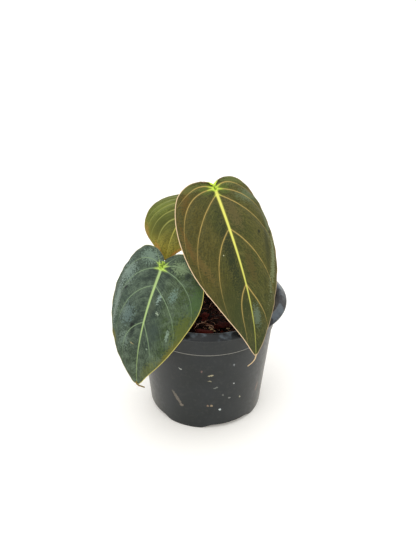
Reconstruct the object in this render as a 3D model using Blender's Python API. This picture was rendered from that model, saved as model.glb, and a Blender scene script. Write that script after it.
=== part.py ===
"""A young velvet-leaved philodendron, rooted in coco husk in a plastic nursery pot.

Units are metres and +Z is up. The origin is on the pot's axis, on the surface that the pot stands on.
The leaves lean out over the rim on the side that faces -Y.
"""

import math
import random
from dataclasses import dataclass

import bmesh
import bpy
import numpy as np
from mathutils import Matrix, Vector, noise
from mathutils.bvhtree import BVHTree

MM = 0.001
GAP = 0.3 * MM  # clearance between pieces that touch

# The pot: a tapered wall, a collar that steps out from it, and a lip that slopes down outside the collar.
POT_HEIGHT = 94.0 * MM
LIP_RADIUS = 60.0 * MM
LIP_OVERHANG = 6.2 * MM
LIP_DROP = 4.0 * MM
LIP_LAND = 1.2 * MM
COLLAR_DEPTH = 22.0 * MM
COLLAR_TAPER = 2.4 * MM
COLLAR_STEP = 0.9 * MM
BASE_RADIUS = 43.5 * MM
WALL = 1.2 * MM
FLOOR = 1.4 * MM
POT_STEPS = 72

# The underside: a ring of four feet, and a pad at the middle that stands level with them.
FOOT_HEIGHT = 3.2 * MM
FOOT_WIDTH = 5.5 * MM
FOOT_NOTCH_DEGREES = 46.0
FIRST_NOTCH_DEGREES = -65.0
PAD_RADIUS = 9.0 * MM
OUTER_DRAIN_RADIUS = 4.5 * MM
OUTER_DRAIN_REACH = 29.5 * MM
INNER_DRAIN_RADIUS = 3.5 * MM
INNER_DRAIN_REACH = 16.5 * MM

# The growing medium: it stands a little below the rim, is crowned, and has a lumpy top.
MEDIUM_BELOW_RIM = 13.0 * MM
MEDIUM_CROWN = 3.0 * MM
MEDIUM_LUMP = 1.6 * MM
MEDIUM_LUMP_SPACING = 14.0 * MM
MEDIUM_STEPS = 48
MEDIUM_RINGS = 7

# The stem, which stands behind the pot's axis, and the shoot tip on it.
STEM_X = 6.0 * MM
STEM_Y = 18.0 * MM
STEM_RADIUS = 4.6 * MM
STEM_DEPTH = 26.0 * MM
STEM_HEIGHT = 20.0 * MM
STEM_RINGS_APART = 6.5 * MM
NODE_SWELLING = 0.5 * MM
SHOOT_LENGTH = 20.0 * MM
SHOOT_RADIUS = 2.7 * MM

# The petioles: each stands against the stem, rises and meets its blade from below.
PETIOLE_BASE_RADIUS = 3.0 * MM
PETIOLE_RADIUS = 1.9 * MM
PETIOLE_END_RADIUS = 2.2 * MM
PETIOLE_STATIONS = 16

# The blades.
BLADE = 0.7 * MM
RIB_DEPTH = 1.1 * MM
RIB_HALF_WIDTH = 1.8 * MM
BLADE_ROWS = 22
BLADE_COLUMNS = 6
FAN_SHARE = 0.33  # share of the margin, from the sinus, whose veins all start at the sinus

# Roots taper from the stem to their ends.
ROOT_RADIUS = 1.3 * MM
ROOT_END_RADIUS = 0.7 * MM
ROOT_WALL_CLEARANCE = 4.0 * MM
ROOT_FLOOR_CLEARANCE = 6.0 * MM
ROOT_STATIONS = 10

# Coco husk: chips of about this size, and loose fibres.
CHIP_GAP = 0.4 * MM
CHIP_CORNERS = 14
FIBRE_RADIUS = 0.35 * MM
FIBRE_LIFT = 0.7 * MM


@dataclass
class Blade:
    """One leaf blade. Lengths are in millimetres and angles in degrees.

    rim_azimuth and from_rim place the sinus, where the petiole meets the blade: from_rim is counted from
    the top of the lip at that azimuth. A blade that hangs inside the rim is counted from the stem instead.
    droop, roll and heading change along the midrib over the distance bend_over, from the sinus onwards, so
    a shorter blade ends sooner on the same curve. cup gives the radius that each half curves down to, right
    half first, as seen from the sinus towards the tip. outline runs from the sinus to the tip, as shares of
    the length and of the half width.
    """

    rim_azimuth: float
    from_rim: tuple
    length: float
    half_width: tuple
    bend_over: float
    heading: float
    sweep: float
    droop: tuple
    roll: tuple
    fold: float
    cup: tuple
    outline: tuple


FRONT_BLADE = Blade(
    rim_azimuth=-60.0,
    from_rim=(-25.0, 44.0, 86.5),
    length=123.0,
    half_width=(34.8, 34.1),
    bend_over=123.0,
    heading=-62.0,
    sweep=21.0,
    droop=(42.5, 89.0),
    roll=(-5.0, -25.0),
    fold=4.0,
    cup=(110.0, 45.0),
    outline=(
        (-0.045, 0.12), (-0.062, 0.31), (-0.055, 0.52), (0.0, 0.80), (0.17, 1.01),
        (0.42, 0.965), (0.67, 0.615), (0.86, 0.27), (0.98, 0.057),
    ),
)
LEFT_BLADE = Blade(
    rim_azimuth=-114.0,
    from_rim=(-7.0, 29.0, 34.7),
    length=88.5,
    half_width=(37.0, 37.0),
    bend_over=88.5,
    heading=-120.5,
    sweep=-7.0,
    droop=(47.5, 93.0),
    roll=(-1.0, 8.5),
    fold=6.5,
    cup=(53.0, 110.0),
    outline=(
        (-0.07, 0.09), (-0.135, 0.275), (-0.145, 0.56), (-0.03, 0.87), (0.195, 1.04),
        (0.435, 0.90), (0.685, 0.605), (0.89, 0.245), (0.99, 0.06),
    ),
)
BACK_BLADE = Blade(
    rim_azimuth=None,
    from_rim=(-8.0, 22.0, 58.0),
    length=62.5,
    half_width=(31.8, 29.0),
    bend_over=62.5,
    heading=-133.0,
    sweep=23.0,
    droop=(3.0, 74.0),
    roll=(-7.5, 11.5),
    fold=6.0,
    cup=(145.0, 165.0),
    outline=(
        (-0.055, 0.10), (-0.12, 0.30), (-0.115, 0.55), (-0.02, 0.85), (0.155, 0.97),
        (0.42, 0.93), (0.69, 0.68), (0.855, 0.26), (0.97, 0.052),
    ),
)

# Each petiole: azimuth round the stem, height of its foot above the medium, the way it first rises, and
# how far it runs straight into the blade, in degrees and millimetres.
PETIOLES = {
    "front": (FRONT_BLADE, -70.0, 13.0, (0.0, -14.0, 38.0), 10.0),
    "left": (LEFT_BLADE, -150.0, 8.0, (-2.0, 0.0, 20.0), 16.0),
    "back": (BACK_BLADE, 110.0, 6.0, (0.0, 2.0, 28.0), 20.0),
}

# Each root: azimuth at the stem, azimuth of its end round the pot's axis, height of its start above the
# medium and height of its end above the pot's floor, in millimetres. The first two start above ground.
ROOTS = (
    (30.0, 12.0, 4.0, 40.0),
    (150.0, 150.0, 3.0, 34.0),
    (75.0, 62.0, -9.0, 24.0),
    (130.0, 112.0, -14.0, 16.0),
    (235.0, 218.0, -8.0, 20.0),
    (305.0, 290.0, -12.0, 12.0),
)

# Each chip: azimuth, share of the medium's radius, then length, width and height in millimetres, its turn
# and its tilt in degrees.
CHIPS = (
    (-113.0, 0.66, 13.0, 7.0, 4.5, 15.0, 6.0),
    (-92.0, 0.80, 14.0, 6.5, 5.0, -10.0, -8.0),
    (-70.0, 0.66, 12.0, 8.0, 4.5, 35.0, 5.0),
    (-95.0, 0.42, 10.0, 6.5, 4.0, 70.0, -10.0),
    (-52.0, 0.84, 11.0, 7.0, 5.5, -40.0, 9.0),
    (-134.0, 0.84, 12.0, 7.5, 5.0, 50.0, -6.0),
    (-30.0, 0.62, 12.0, 6.0, 5.0, 80.0, 12.0),
    (-8.0, 0.85, 11.0, 7.5, 4.5, 10.0, -7.0),
    (18.0, 0.86, 13.0, 8.0, 6.0, -60.0, 10.0),
    (46.0, 0.84, 12.0, 6.5, 5.0, 30.0, -9.0),
    (78.0, 0.88, 13.0, 7.0, 4.0, -20.0, 4.0),
    (112.0, 0.86, 11.0, 7.5, 4.5, 65.0, 6.0),
    (140.0, 0.84, 13.0, 6.5, 5.0, 40.0, -8.0),
    (166.0, 0.80, 10.0, 8.0, 5.5, -35.0, 11.0),
    (-168.0, 0.84, 12.0, 7.0, 5.0, 85.0, -5.0),
    (-150.0, 0.55, 11.0, 7.0, 4.0, -25.0, 7.0),
    (172.0, 0.50, 9.0, 6.0, 4.0, 20.0, -9.0),
    (-4.0, 0.50, 10.0, 6.5, 4.5, -70.0, 8.0),
)

# Each fibre: the two ends and the bow of its middle, as offsets from the pot's axis in shares of the
# medium's radius.
FIBRES = (
    ((-0.32, -0.50), (-0.14, -0.66), (0.02, 0.03)),
    ((0.02, -0.50), (-0.12, -0.62), (0.03, 0.0)),
)


def material(name, colour, roughness):
    """A plain Principled material, from an sRGB hex colour."""
    channels = [int(colour[i:i + 2], 16) / 255 for i in (0, 2, 4)]
    linear = [c / 12.92 if c <= 0.04045 else ((c + 0.055) / 1.055) ** 2.4 for c in channels]
    made = bpy.data.materials.new(name)
    made.use_nodes = True
    shader = made.node_tree.nodes["Principled BSDF"]
    shader.inputs["Base Color"].default_value = (*linear, 1.0)
    shader.inputs["Roughness"].default_value = roughness
    shader.inputs["Metallic"].default_value = 0.0
    return made


def add_object(name, mesh, surface=None):
    """Links a mesh to the scene as the object called name, shaded smooth but for its sharp edges."""
    placed = bpy.data.objects.new(name, mesh)
    bpy.context.scene.collection.objects.link(placed)
    mesh.shade_smooth()
    mesh.set_sharp_from_angle(angle=math.radians(35))
    if surface:
        mesh.materials.append(surface)
    return placed


def mesh_from(shape, name):
    """The finished mesh of a bmesh, with its faces pointing out."""
    bmesh.ops.recalc_face_normals(shape, faces=shape.faces)
    mesh = bpy.data.meshes.new(name)
    shape.to_mesh(mesh)
    shape.free()
    return mesh


def cut(target, cutter):
    """Cuts one object with another, which is left out of the model."""
    cutter.hide_render = True
    cutter.display_type = "WIRE"
    boolean = target.modifiers.new(cutter.name, "BOOLEAN")
    boolean.operation = "DIFFERENCE"
    boolean.solver = "EXACT"
    boolean.object = cutter


def tube(name, path, radii, surface=None, resolution=2):
    """A round bar along a path of points, whose radius follows radii."""
    curve = bpy.data.curves.new(name, "CURVE")
    curve.dimensions = "3D"
    curve.bevel_depth = 1.0
    curve.bevel_resolution = resolution
    curve.use_fill_caps = True
    spline = curve.splines.new("POLY")
    spline.points.add(len(path) - 1)
    for point, place, radius in zip(spline.points, path, radii):
        point.co = (*place, 1.0)
        point.radius = radius
    guide = bpy.data.objects.new(name + "_path", curve)
    shape = bmesh.new()
    shape.from_mesh(bpy.data.meshes.new_from_object(guide))
    bpy.data.objects.remove(guide)
    bmesh.ops.remove_doubles(shape, verts=shape.verts, dist=0.01 * MM)
    return add_object(name, mesh_from(shape, name), surface)


def bezier(start, start_handle, end_handle, end, count):
    """Points at even steps along one cubic curve."""
    points = []
    for step in range(count):
        t = step / (count - 1)
        points.append(
            start * (1 - t) ** 3
            + start_handle * 3 * t * (1 - t) ** 2
            + end_handle * 3 * t * t * (1 - t)
            + end * t ** 3
        )
    return points


def around(azimuth, reach, height):
    """The point at an azimuth in degrees and a reach from the pot's axis."""
    angle = math.radians(azimuth)
    return Vector((reach * math.cos(angle), reach * math.sin(angle), height))


# ---------------------------------------------------------------- pot

COLLAR_TOP_RADIUS = LIP_RADIUS - LIP_OVERHANG
COLLAR_FOOT_RADIUS = COLLAR_TOP_RADIUS - COLLAR_TAPER
WALL_TOP_RADIUS = COLLAR_FOOT_RADIUS - COLLAR_STEP
COLLAR_FOOT = POT_HEIGHT - COLLAR_DEPTH
LIP_FOOT = POT_HEIGHT - LIP_DROP
FLOOR_TOP = FOOT_HEIGHT + FLOOR


def wall_radius(height):
    """The pot's outer radius at a height, below the lip."""
    if height < COLLAR_FOOT:
        return BASE_RADIUS + (WALL_TOP_RADIUS - BASE_RADIUS) * height / COLLAR_FOOT
    share = (height - COLLAR_FOOT) / (LIP_FOOT - COLLAR_FOOT)
    return COLLAR_FOOT_RADIUS + (COLLAR_TOP_RADIUS - COLLAR_FOOT_RADIUS) * share


def turned(name, profile, steps):
    """The bmesh of a closed solid whose profile, of radius and height, is spun round the Z axis."""
    shape = bmesh.new()
    corners = [shape.verts.new((radius, 0.0, height)) for radius, height in profile]
    edges = [shape.edges.new(pair) for pair in zip(corners, corners[1:])]
    whole_turn = 2 * math.pi
    geometry = corners + edges
    bmesh.ops.spin(shape, geom=geometry, axis=(0, 0, 1), angle=whole_turn, steps=steps, use_merge=True)
    bmesh.ops.remove_doubles(shape, verts=shape.verts, dist=0.001 * MM)
    return shape


def make_pot():
    foot_inside = BASE_RADIUS - FOOT_WIDTH
    draft = 0.3 * MM
    outside = [
        (0.0, 0.0),
        (PAD_RADIUS, 0.0),
        (PAD_RADIUS + draft, FOOT_HEIGHT),
        (foot_inside, FOOT_HEIGHT),
        (foot_inside + draft, 0.0),
        (BASE_RADIUS, 0.0),
        (wall_radius(FOOT_HEIGHT), FOOT_HEIGHT),
        (WALL_TOP_RADIUS, COLLAR_FOOT),
        (COLLAR_FOOT_RADIUS, COLLAR_FOOT + COLLAR_STEP),
        (COLLAR_TOP_RADIUS, LIP_FOOT + WALL),
        (LIP_RADIUS - WALL, LIP_FOOT),
        (LIP_RADIUS, LIP_FOOT),
        (LIP_RADIUS, LIP_FOOT + WALL),
        (COLLAR_TOP_RADIUS + LIP_LAND + WALL, POT_HEIGHT),
    ]
    inside = [
        (COLLAR_TOP_RADIUS + LIP_LAND, POT_HEIGHT),
        (COLLAR_TOP_RADIUS - WALL, LIP_FOOT + WALL),
        (COLLAR_FOOT_RADIUS - WALL, COLLAR_FOOT + COLLAR_STEP),
        (WALL_TOP_RADIUS - WALL, COLLAR_FOOT),
        (wall_radius(FLOOR_TOP) - WALL, FLOOR_TOP),
        (0.0, FLOOR_TOP),
    ]
    shape = turned("nursery_pot", outside + inside, POT_STEPS)
    pot = add_object("nursery_pot", mesh_from(shape, "nursery_pot"), material("pot_plastic", "3F4445", 0.45))

    for quarter in range(4):
        notch_azimuth = FIRST_NOTCH_DEGREES + 90 * quarter
        width = 2 * BASE_RADIUS * math.sin(math.radians(FOOT_NOTCH_DEGREES / 2))
        notch = bmesh.new()
        bmesh.ops.create_cube(notch, size=1.0)
        bmesh.ops.scale(notch, verts=notch.verts, vec=(2.4 * FOOT_WIDTH, width, 2 * FOOT_HEIGHT))
        centre = around(notch_azimuth, BASE_RADIUS - FOOT_WIDTH / 2, 0.0)
        turn = Matrix.Rotation(math.radians(notch_azimuth), 3, "Z")
        bmesh.ops.rotate(notch, verts=notch.verts, matrix=turn)
        bmesh.ops.translate(notch, verts=notch.verts, vec=centre)
        cut(pot, add_object(f"foot_notch_{quarter + 1}", mesh_from(notch, "foot_notch")))
        for kind, turn_on, reach, radius in (
            ("outer", 0.0, OUTER_DRAIN_REACH, OUTER_DRAIN_RADIUS),
            ("inner", 45.0, INNER_DRAIN_REACH, INNER_DRAIN_RADIUS),
        ):
            hole = bmesh.new()
            bmesh.ops.create_cone(
                hole, cap_ends=True, segments=16, radius1=radius, radius2=radius, depth=4 * FLOOR
            )
            middle = around(notch_azimuth + turn_on, reach, FOOT_HEIGHT + FLOOR / 2)
            bmesh.ops.translate(hole, verts=hole.verts, vec=middle)
            cut(pot, add_object(f"{kind}_drain_{quarter + 1}", mesh_from(hole, "drain")))


# ---------------------------------------------------------------- growing medium

MEDIUM_LEVEL = POT_HEIGHT - MEDIUM_BELOW_RIM
MEDIUM_RADIUS = wall_radius(MEDIUM_LEVEL) - WALL - GAP
MEDIUM_FOOT = FLOOR_TOP + GAP


def medium_height(x, y):
    """The height of the medium's top, crowned at the middle and lumpy."""
    share = min(1.0, math.hypot(x, y) / MEDIUM_RADIUS)
    lump = noise.noise(Vector((x, y, 0.0)) / MEDIUM_LUMP_SPACING)
    return MEDIUM_LEVEL + MEDIUM_CROWN * (1 - share ** 2) + MEDIUM_LUMP * lump * (1 - share ** 4)


def make_medium(cutters):
    """The medium, with a channel for the stem and for each root, and the search tree of its top."""
    profile = [(0.0, MEDIUM_FOOT), (wall_radius(MEDIUM_FOOT) - WALL - GAP, MEDIUM_FOOT)]
    if MEDIUM_LEVEL > COLLAR_FOOT + COLLAR_STEP:
        profile.append((WALL_TOP_RADIUS - WALL - GAP, COLLAR_FOOT))
        profile.append((WALL_TOP_RADIUS - WALL - GAP, COLLAR_FOOT + COLLAR_STEP))
    for ring in range(MEDIUM_RINGS + 1):
        profile.append((MEDIUM_RADIUS * (1 - ring / MEDIUM_RINGS), MEDIUM_LEVEL))
    shape = turned("growing_medium", profile, MEDIUM_STEPS)
    for corner in shape.verts:
        if corner.co.z > MEDIUM_LEVEL - 0.01 * MM:
            corner.co.z = medium_height(corner.co.x, corner.co.y)
    bmesh.ops.triangulate(shape, faces=shape.faces)
    bmesh.ops.recalc_face_normals(shape, faces=shape.faces)
    tree = BVHTree.FromBMesh(shape)
    surface = material("coco_husk_dark", "2A1C16", 0.95)
    medium = add_object("growing_medium", mesh_from(shape, "growing_medium"), surface)
    for cutter in cutters:
        cut(medium, cutter)
    return tree


def settle(shape, supports, spacing=0.25 * MM):
    """Lowers a shape onto the supports below it, until it is a chip's gap away from them."""
    own = BVHTree.FromBMesh(shape)
    low = [min(corner.co[i] for corner in shape.verts) for i in range(3)]
    high = [max(corner.co[i] for corner in shape.verts) for i in range(3)]
    room = []
    for x in np.arange(low[0], high[0], spacing):
        for y in np.arange(low[1], high[1], spacing):
            underside = own.ray_cast(Vector((x, y, low[2] - 1.0)), Vector((0, 0, 1)))[0]
            if underside is None:
                continue
            for support in supports:
                top = support.ray_cast(Vector((x, y, low[2])), Vector((0, 0, -1)))[0]
                if top is not None:
                    room.append(underside.z - top.z)
    bmesh.ops.translate(shape, verts=shape.verts, vec=(0, 0, CHIP_GAP - min(room)))


def make_chips(medium_tree):
    """The coco husk chips, each let down onto the medium and the chips before it."""
    supports = [medium_tree]
    above = POT_HEIGHT
    tones = ("4A2418", "5E2E1C", "6B3A26")
    surfaces = [material(f"coco_chip_{colour}", colour, 0.9) for colour in tones]
    for number, (azimuth, share, length, width, height, turn, tilt) in enumerate(CHIPS, start=1):
        draws = random.Random(number)
        shape = bmesh.new()
        for _ in range(CHIP_CORNERS):
            corner = Vector([draws.uniform(-1, 1) for _ in range(3)])
            corner /= sum(abs(c) ** 4 for c in corner) ** 0.25
            size = (length, width, height)
            shape.verts.new([c * s / 2 * MM for c, s in zip(corner, size)])
        hull = bmesh.ops.convex_hull(shape, input=shape.verts)
        loose = [v for v in hull["geom_interior"] if isinstance(v, bmesh.types.BMVert)]
        bmesh.ops.delete(shape, geom=loose, context="VERTS")
        lean = Matrix.Rotation(math.radians(tilt), 3, "X")
        spin = Matrix.Rotation(math.radians(turn), 3, "Z")
        bmesh.ops.rotate(shape, verts=shape.verts, matrix=spin @ lean)
        bmesh.ops.translate(shape, verts=shape.verts, vec=around(azimuth, share * MEDIUM_RADIUS, above))
        settle(shape, supports)
        bmesh.ops.recalc_face_normals(shape, faces=shape.faces)
        supports.append(BVHTree.FromBMesh(shape))
        name = f"coco_chip_{number:02d}"
        add_object(name, mesh_from(shape, name), surfaces[number % len(tones)])
    return supports


def make_fibres(supports):
    """Loose coir fibres, laid level across what is highest under them."""
    surface = material("coir_fibre", "B08A5C", 0.8)
    for number, (start, end, bow) in enumerate(FIBRES, start=1):
        path = []
        for step in range(9):
            t = step / 8
            x, y = (
                MEDIUM_RADIUS * (a * (1 - t) + b * t + 4 * t * (1 - t) * side)
                for a, b, side in zip(start, end, bow)
            )
            path.append(Vector((x, y, POT_HEIGHT)))
        tops = [s.ray_cast(point, Vector((0, 0, -1)))[0] for point in path for s in supports]
        lie = max(top.z for top in tops if top is not None) + FIBRE_LIFT + FIBRE_RADIUS
        lie += 2 * (number - 1) * (FIBRE_RADIUS + GAP)
        for point in path:
            point.z = lie
        tube(f"coir_fibre_{number}", path, [FIBRE_RADIUS] * len(path), surface, resolution=1)


# ---------------------------------------------------------------- stem, shoot tip and roots

STEM_FOOT = Vector((STEM_X, STEM_Y, MEDIUM_LEVEL - STEM_DEPTH))
STEM_TOP = Vector((STEM_X, STEM_Y, MEDIUM_LEVEL + STEM_HEIGHT))


def make_stem():
    """The stem with its swollen nodes, and the hole that the medium leaves for it."""
    length = (STEM_TOP - STEM_FOOT).length
    stations = 19
    path = [STEM_FOOT.lerp(STEM_TOP, i / (stations - 1)) for i in range(stations)]
    radii = []
    for place in path:
        nearest = round((place.z - STEM_TOP.z) / STEM_RINGS_APART) * STEM_RINGS_APART
        off_node = abs(place.z - STEM_TOP.z - nearest) / STEM_RINGS_APART
        butt = 1 - 0.25 * math.exp(-(place - STEM_FOOT).length / (0.1 * length))
        radii.append(STEM_RADIUS * butt + NODE_SWELLING * (0.5 - off_node))
    tube("stem", path, radii, material("stem_bark", "6E7440", 0.6), resolution=4)
    below = Vector((0, 0, GAP))
    over = Vector((0, 0, MEDIUM_CROWN + MEDIUM_LUMP + STEM_RADIUS))
    hole_path = [STEM_FOOT - below, Vector((STEM_X, STEM_Y, MEDIUM_LEVEL)) + over]
    hole_radius = STEM_RADIUS + NODE_SWELLING + GAP
    return tube("stem_hole", hole_path, [hole_radius] * 2, resolution=4)


def make_shoot_tip():
    """The next leaf, still rolled up in its sheath, on top of the stem."""
    foot = STEM_TOP + Vector((0, 0, GAP))
    tip = foot + Vector((-0.12, 0.08, 1.0)) * SHOOT_LENGTH
    path = bezier(foot, foot.lerp(tip, 0.3), foot.lerp(tip, 0.7), tip, 8)
    radii = [SHOOT_RADIUS * share for share in (0.9, 1.0, 1.0, 0.9, 0.75, 0.55, 0.35, 0.12)]
    tube("shoot_tip", path, radii, material("shoot_sheath", "9A7A58", 0.6))


def make_roots():
    """The roots, and the channels that the medium leaves for them."""
    surface = material("root", "B79A6E", 0.8)
    holes = []
    for number, (stem_azimuth, end_azimuth, start_height, end_height) in enumerate(ROOTS, start=1):
        outward = around(stem_azimuth, 1.0, 0.0)
        start_reach = STEM_RADIUS + NODE_SWELLING + GAP + ROOT_RADIUS
        start = Vector((STEM_X, STEM_Y, MEDIUM_LEVEL + start_height * MM)) + outward * start_reach
        end_z = FLOOR_TOP + ROOT_FLOOR_CLEARANCE + end_height * MM
        end = around(end_azimuth, wall_radius(end_z) - WALL - ROOT_WALL_CLEARANCE - ROOT_RADIUS, end_z)
        across = (end - start) * 0.4
        handle = start + outward * 6 * MM + Vector((across.x, across.y, 0)) * 0.5
        fall = Vector((across.x, across.y, across.z)) * 0.6 - Vector((0, 0, end.z - start.z)) * 0.3
        path = bezier(start, handle, end - fall, end, ROOT_STATIONS)
        radii = list(np.linspace(ROOT_RADIUS, ROOT_END_RADIUS, ROOT_STATIONS))
        tube(f"root_{number}", path, radii, surface)
        inward = (path[0] - path[1]).normalized()
        onward = (path[-1] - path[-2]).normalized() * GAP
        hole_path = [path[0] + inward * (GAP + ROOT_RADIUS), *path[:-1], path[-1] + onward]
        hole_radii = [radii[0] + GAP, *[radius + GAP for radius in radii]]
        holes.append(tube(f"root_hole_{number}", hole_path, hole_radii))
    return holes


# ---------------------------------------------------------------- blades and petioles

def smooth_line(points, count):
    """Points at even distances along a centripetal Catmull-Rom curve through the given points."""
    known = np.array(points, float)
    known = np.vstack([2 * known[0] - known[1], known, 2 * known[-1] - known[-2]])
    line = []
    for a, b, c, d in zip(known, known[1:], known[2:], known[3:]):
        gaps = [np.linalg.norm(q - p) ** 0.5 for p, q in ((a, b), (b, c), (c, d))]
        k0, k1, k2, k3 = np.cumsum([0.0, *gaps])
        for t in np.linspace(k1, k2, 12, endpoint=False):
            def mix(p, q, start, end):
                return (p * (end - t) + q * (t - start)) / (end - start)
            ab, bc, cd = mix(a, b, k0, k1), mix(b, c, k1, k2), mix(c, d, k2, k3)
            line.append(mix(mix(ab, bc, k0, k2), mix(bc, cd, k1, k3), k1, k2))
    line = np.array([*line, known[-2]])
    travelled = np.concatenate([[0.0], np.cumsum(np.linalg.norm(np.diff(line, axis=0), axis=1))])
    at = np.linspace(0.0, travelled[-1], count)
    return np.stack([np.interp(at, travelled, line[:, i]) for i in range(2)], axis=1)


class BladeSurface:
    """A blade's curved surface: a midrib that droops, turns and rolls, and halves that curve down."""

    def __init__(self, blade):
        self.blade = blade
        self.length = blade.length * MM
        if blade.rim_azimuth is None:
            self.sinus = np.array([STEM_X, STEM_Y, POT_HEIGHT]) + np.array(blade.from_rim) * MM
        else:
            rim = around(blade.rim_azimuth, LIP_RADIUS, POT_HEIGHT)
            self.sinus = np.array(rim) + np.array(blade.from_rim) * MM
        self.along = np.linspace(-0.35 * self.length, self.length, 136)
        share = np.clip(self.along / (blade.bend_over * MM), 0.0, 1.0)
        behind = np.clip(self.along / (blade.bend_over * MM), -1.0, 0.0)
        droop = np.radians(blade.droop[0] + (blade.droop[1] - blade.droop[0]) * share ** 1.3 + 10.0 * behind)
        heading = np.radians(blade.heading + blade.sweep * share ** 1.5)
        roll = np.radians(blade.roll[0] + (blade.roll[1] - blade.roll[0]) * share)[:, None]
        ahead = np.stack([np.cos(heading), np.sin(heading), np.zeros(len(heading))], 1)
        upright = np.array([0.0, 0.0, 1.0])
        onward = ahead * np.cos(droop)[:, None] - upright * np.sin(droop)[:, None]
        level_up = ahead * np.sin(droop)[:, None] + upright * np.cos(droop)[:, None]
        level_right = np.cross(onward, level_up)
        self.right = np.cos(roll) * level_right + np.sin(roll) * level_up
        self.up = np.cos(roll) * level_up - np.sin(roll) * level_right
        steps = (onward[1:] + onward[:-1]) / 2 * (self.along[1] - self.along[0])
        travelled = np.vstack([np.zeros(3), np.cumsum(steps, axis=0)])
        self.midrib = travelled - self.at(travelled, 0.0) + self.sinus

    def at(self, values, along):
        """One of the values kept along the midrib, at a distance from the sinus."""
        return np.array([np.interp(along, self.along, values[:, i]) for i in range(3)])

    def place(self, along, across):
        """The point on the upper surface, across the midrib to the right, or to the left if negative."""
        radius = self.blade.cup[0 if across > 0 else 1] * MM
        fold = math.radians(self.blade.fold)
        turned_by = fold - abs(across) / radius
        out = radius * (math.sin(fold) - math.sin(turned_by)) * math.copysign(1.0, across)
        rise = radius * (math.cos(turned_by) - math.cos(fold))
        return self.at(self.midrib, along) + self.at(self.right, along) * out + self.at(self.up, along) * rise

    def margin(self, side, count):
        """The margin of one half, from the sinus to the tip, as distances along and across the midrib."""
        half_width = self.blade.half_width[0 if side > 0 else 1] * MM
        points = [(0.0, 0.0), *self.blade.outline, (1.0, 0.0)]
        return smooth_line([(a * self.length, b * half_width * side) for a, b in points], count)


def make_blade(name, blade, surface):
    """A blade of even thickness with a rib under its midrib.

    The rows of the grid follow the side veins: they start along the midrib and end on the margin.
    """
    form = BladeSurface(blade)
    margins = {side: form.margin(side, BLADE_ROWS + 1) for side in (1, -1)}
    shape = bmesh.new()
    bmesh.ops.create_grid(shape, x_segments=BLADE_ROWS, y_segments=2 * BLADE_COLUMNS, size=0.5)
    from_midrib = shape.verts.layers.float.new("from_midrib")
    for corner in shape.verts:
        row = round((corner.co.x + 0.5) * BLADE_ROWS)
        column = round((corner.co.y + 0.5) * 2 * BLADE_COLUMNS) - BLADE_COLUMNS
        edge = margins[1 if column > 0 else -1][row]
        start = form.length * max(0.0, (row / BLADE_ROWS - FAN_SHARE) / (1 - FAN_SHARE))
        share = (abs(column) / BLADE_COLUMNS) ** 1.4
        along = start + (edge[0] - start) * share
        across = edge[1] * share
        corner.co = form.place(along, across)
        corner[from_midrib] = abs(across)
    bmesh.ops.remove_doubles(shape, verts=shape.verts, dist=0.02 * MM)
    bmesh.ops.recalc_face_normals(shape, faces=shape.faces)
    middle = min(shape.verts, key=lambda v: (v.co - Vector(form.place(form.length / 2, 0.0))).length)
    if middle.normal.dot(Vector(form.at(form.up, form.length / 2))) < 0:
        bmesh.ops.reverse_faces(shape, faces=shape.faces)
    shape.normal_update()
    down = {tuple(corner.co): -corner.normal.copy() for corner in shape.verts}
    made = bmesh.ops.extrude_face_region(shape, geom=shape.faces[:], use_keep_orig=True)
    for corner in made["geom"]:
        if isinstance(corner, bmesh.types.BMVert):
            rib = RIB_DEPTH * math.exp(-((corner[from_midrib] / RIB_HALF_WIDTH) ** 2))
            corner.co += down[tuple(corner.co)] * (BLADE + rib)
    add_object(name, mesh_from(shape, name), surface)


def make_petiole(name, surface, blade, azimuth, foot_height, rise, straight_end):
    """A leaf stalk, from against the stem to the underside of its blade at the sinus."""
    form = BladeSurface(blade)
    reach = STEM_RADIUS + NODE_SWELLING + GAP + PETIOLE_BASE_RADIUS
    foot = Vector((STEM_X, STEM_Y, MEDIUM_LEVEL + foot_height * MM)) + around(azimuth, reach, 0.0)
    up = Vector(form.at(form.up, 0.0))
    approach = (up + Vector((0, 0, 1.2))).normalized()
    lean = PETIOLE_END_RADIUS * approach.cross(up).length
    end = Vector(form.place(0.0, 0.0)) - up * (BLADE + RIB_DEPTH + GAP + lean)
    path = bezier(foot, foot + Vector(rise) * MM, end - approach * straight_end * MM, end, PETIOLE_STATIONS)
    radii = []
    for i in range(PETIOLE_STATIONS):
        share = i / (PETIOLE_STATIONS - 1)
        sheath = (PETIOLE_BASE_RADIUS - PETIOLE_RADIUS) * (1 - share) ** 4
        radii.append(PETIOLE_RADIUS + sheath + (PETIOLE_END_RADIUS - PETIOLE_RADIUS) * share ** 4)
    tube(name, path, radii, surface)


# ---------------------------------------------------------------- the whole plant

for old in list(bpy.data.objects):
    bpy.data.objects.remove(old)

make_pot()
stem_hole = make_stem()
husk = make_chips(make_medium([stem_hole, *make_roots()]))
make_fibres(husk)
make_shoot_tip()
make_blade("leaf_front", FRONT_BLADE, material("leaf_olive", "5A5832", 0.6))
make_blade("leaf_left", LEFT_BLADE, material("leaf_velvet_green", "46554B", 0.65))
make_blade("leaf_back", BACK_BLADE, material("leaf_young_olive", "6E7332", 0.55))
stalk = material("petiole_green", "8A9A4E", 0.5)
for side, (blade, *place) in PETIOLES.items():
    make_petiole(f"petiole_{side}", stalk, blade, *place)
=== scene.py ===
import math
import random

import bmesh
import bpy
import numpy as np
from mathutils import Euler, Matrix, Vector, noise
from mathutils.kdtree import KDTree


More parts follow.
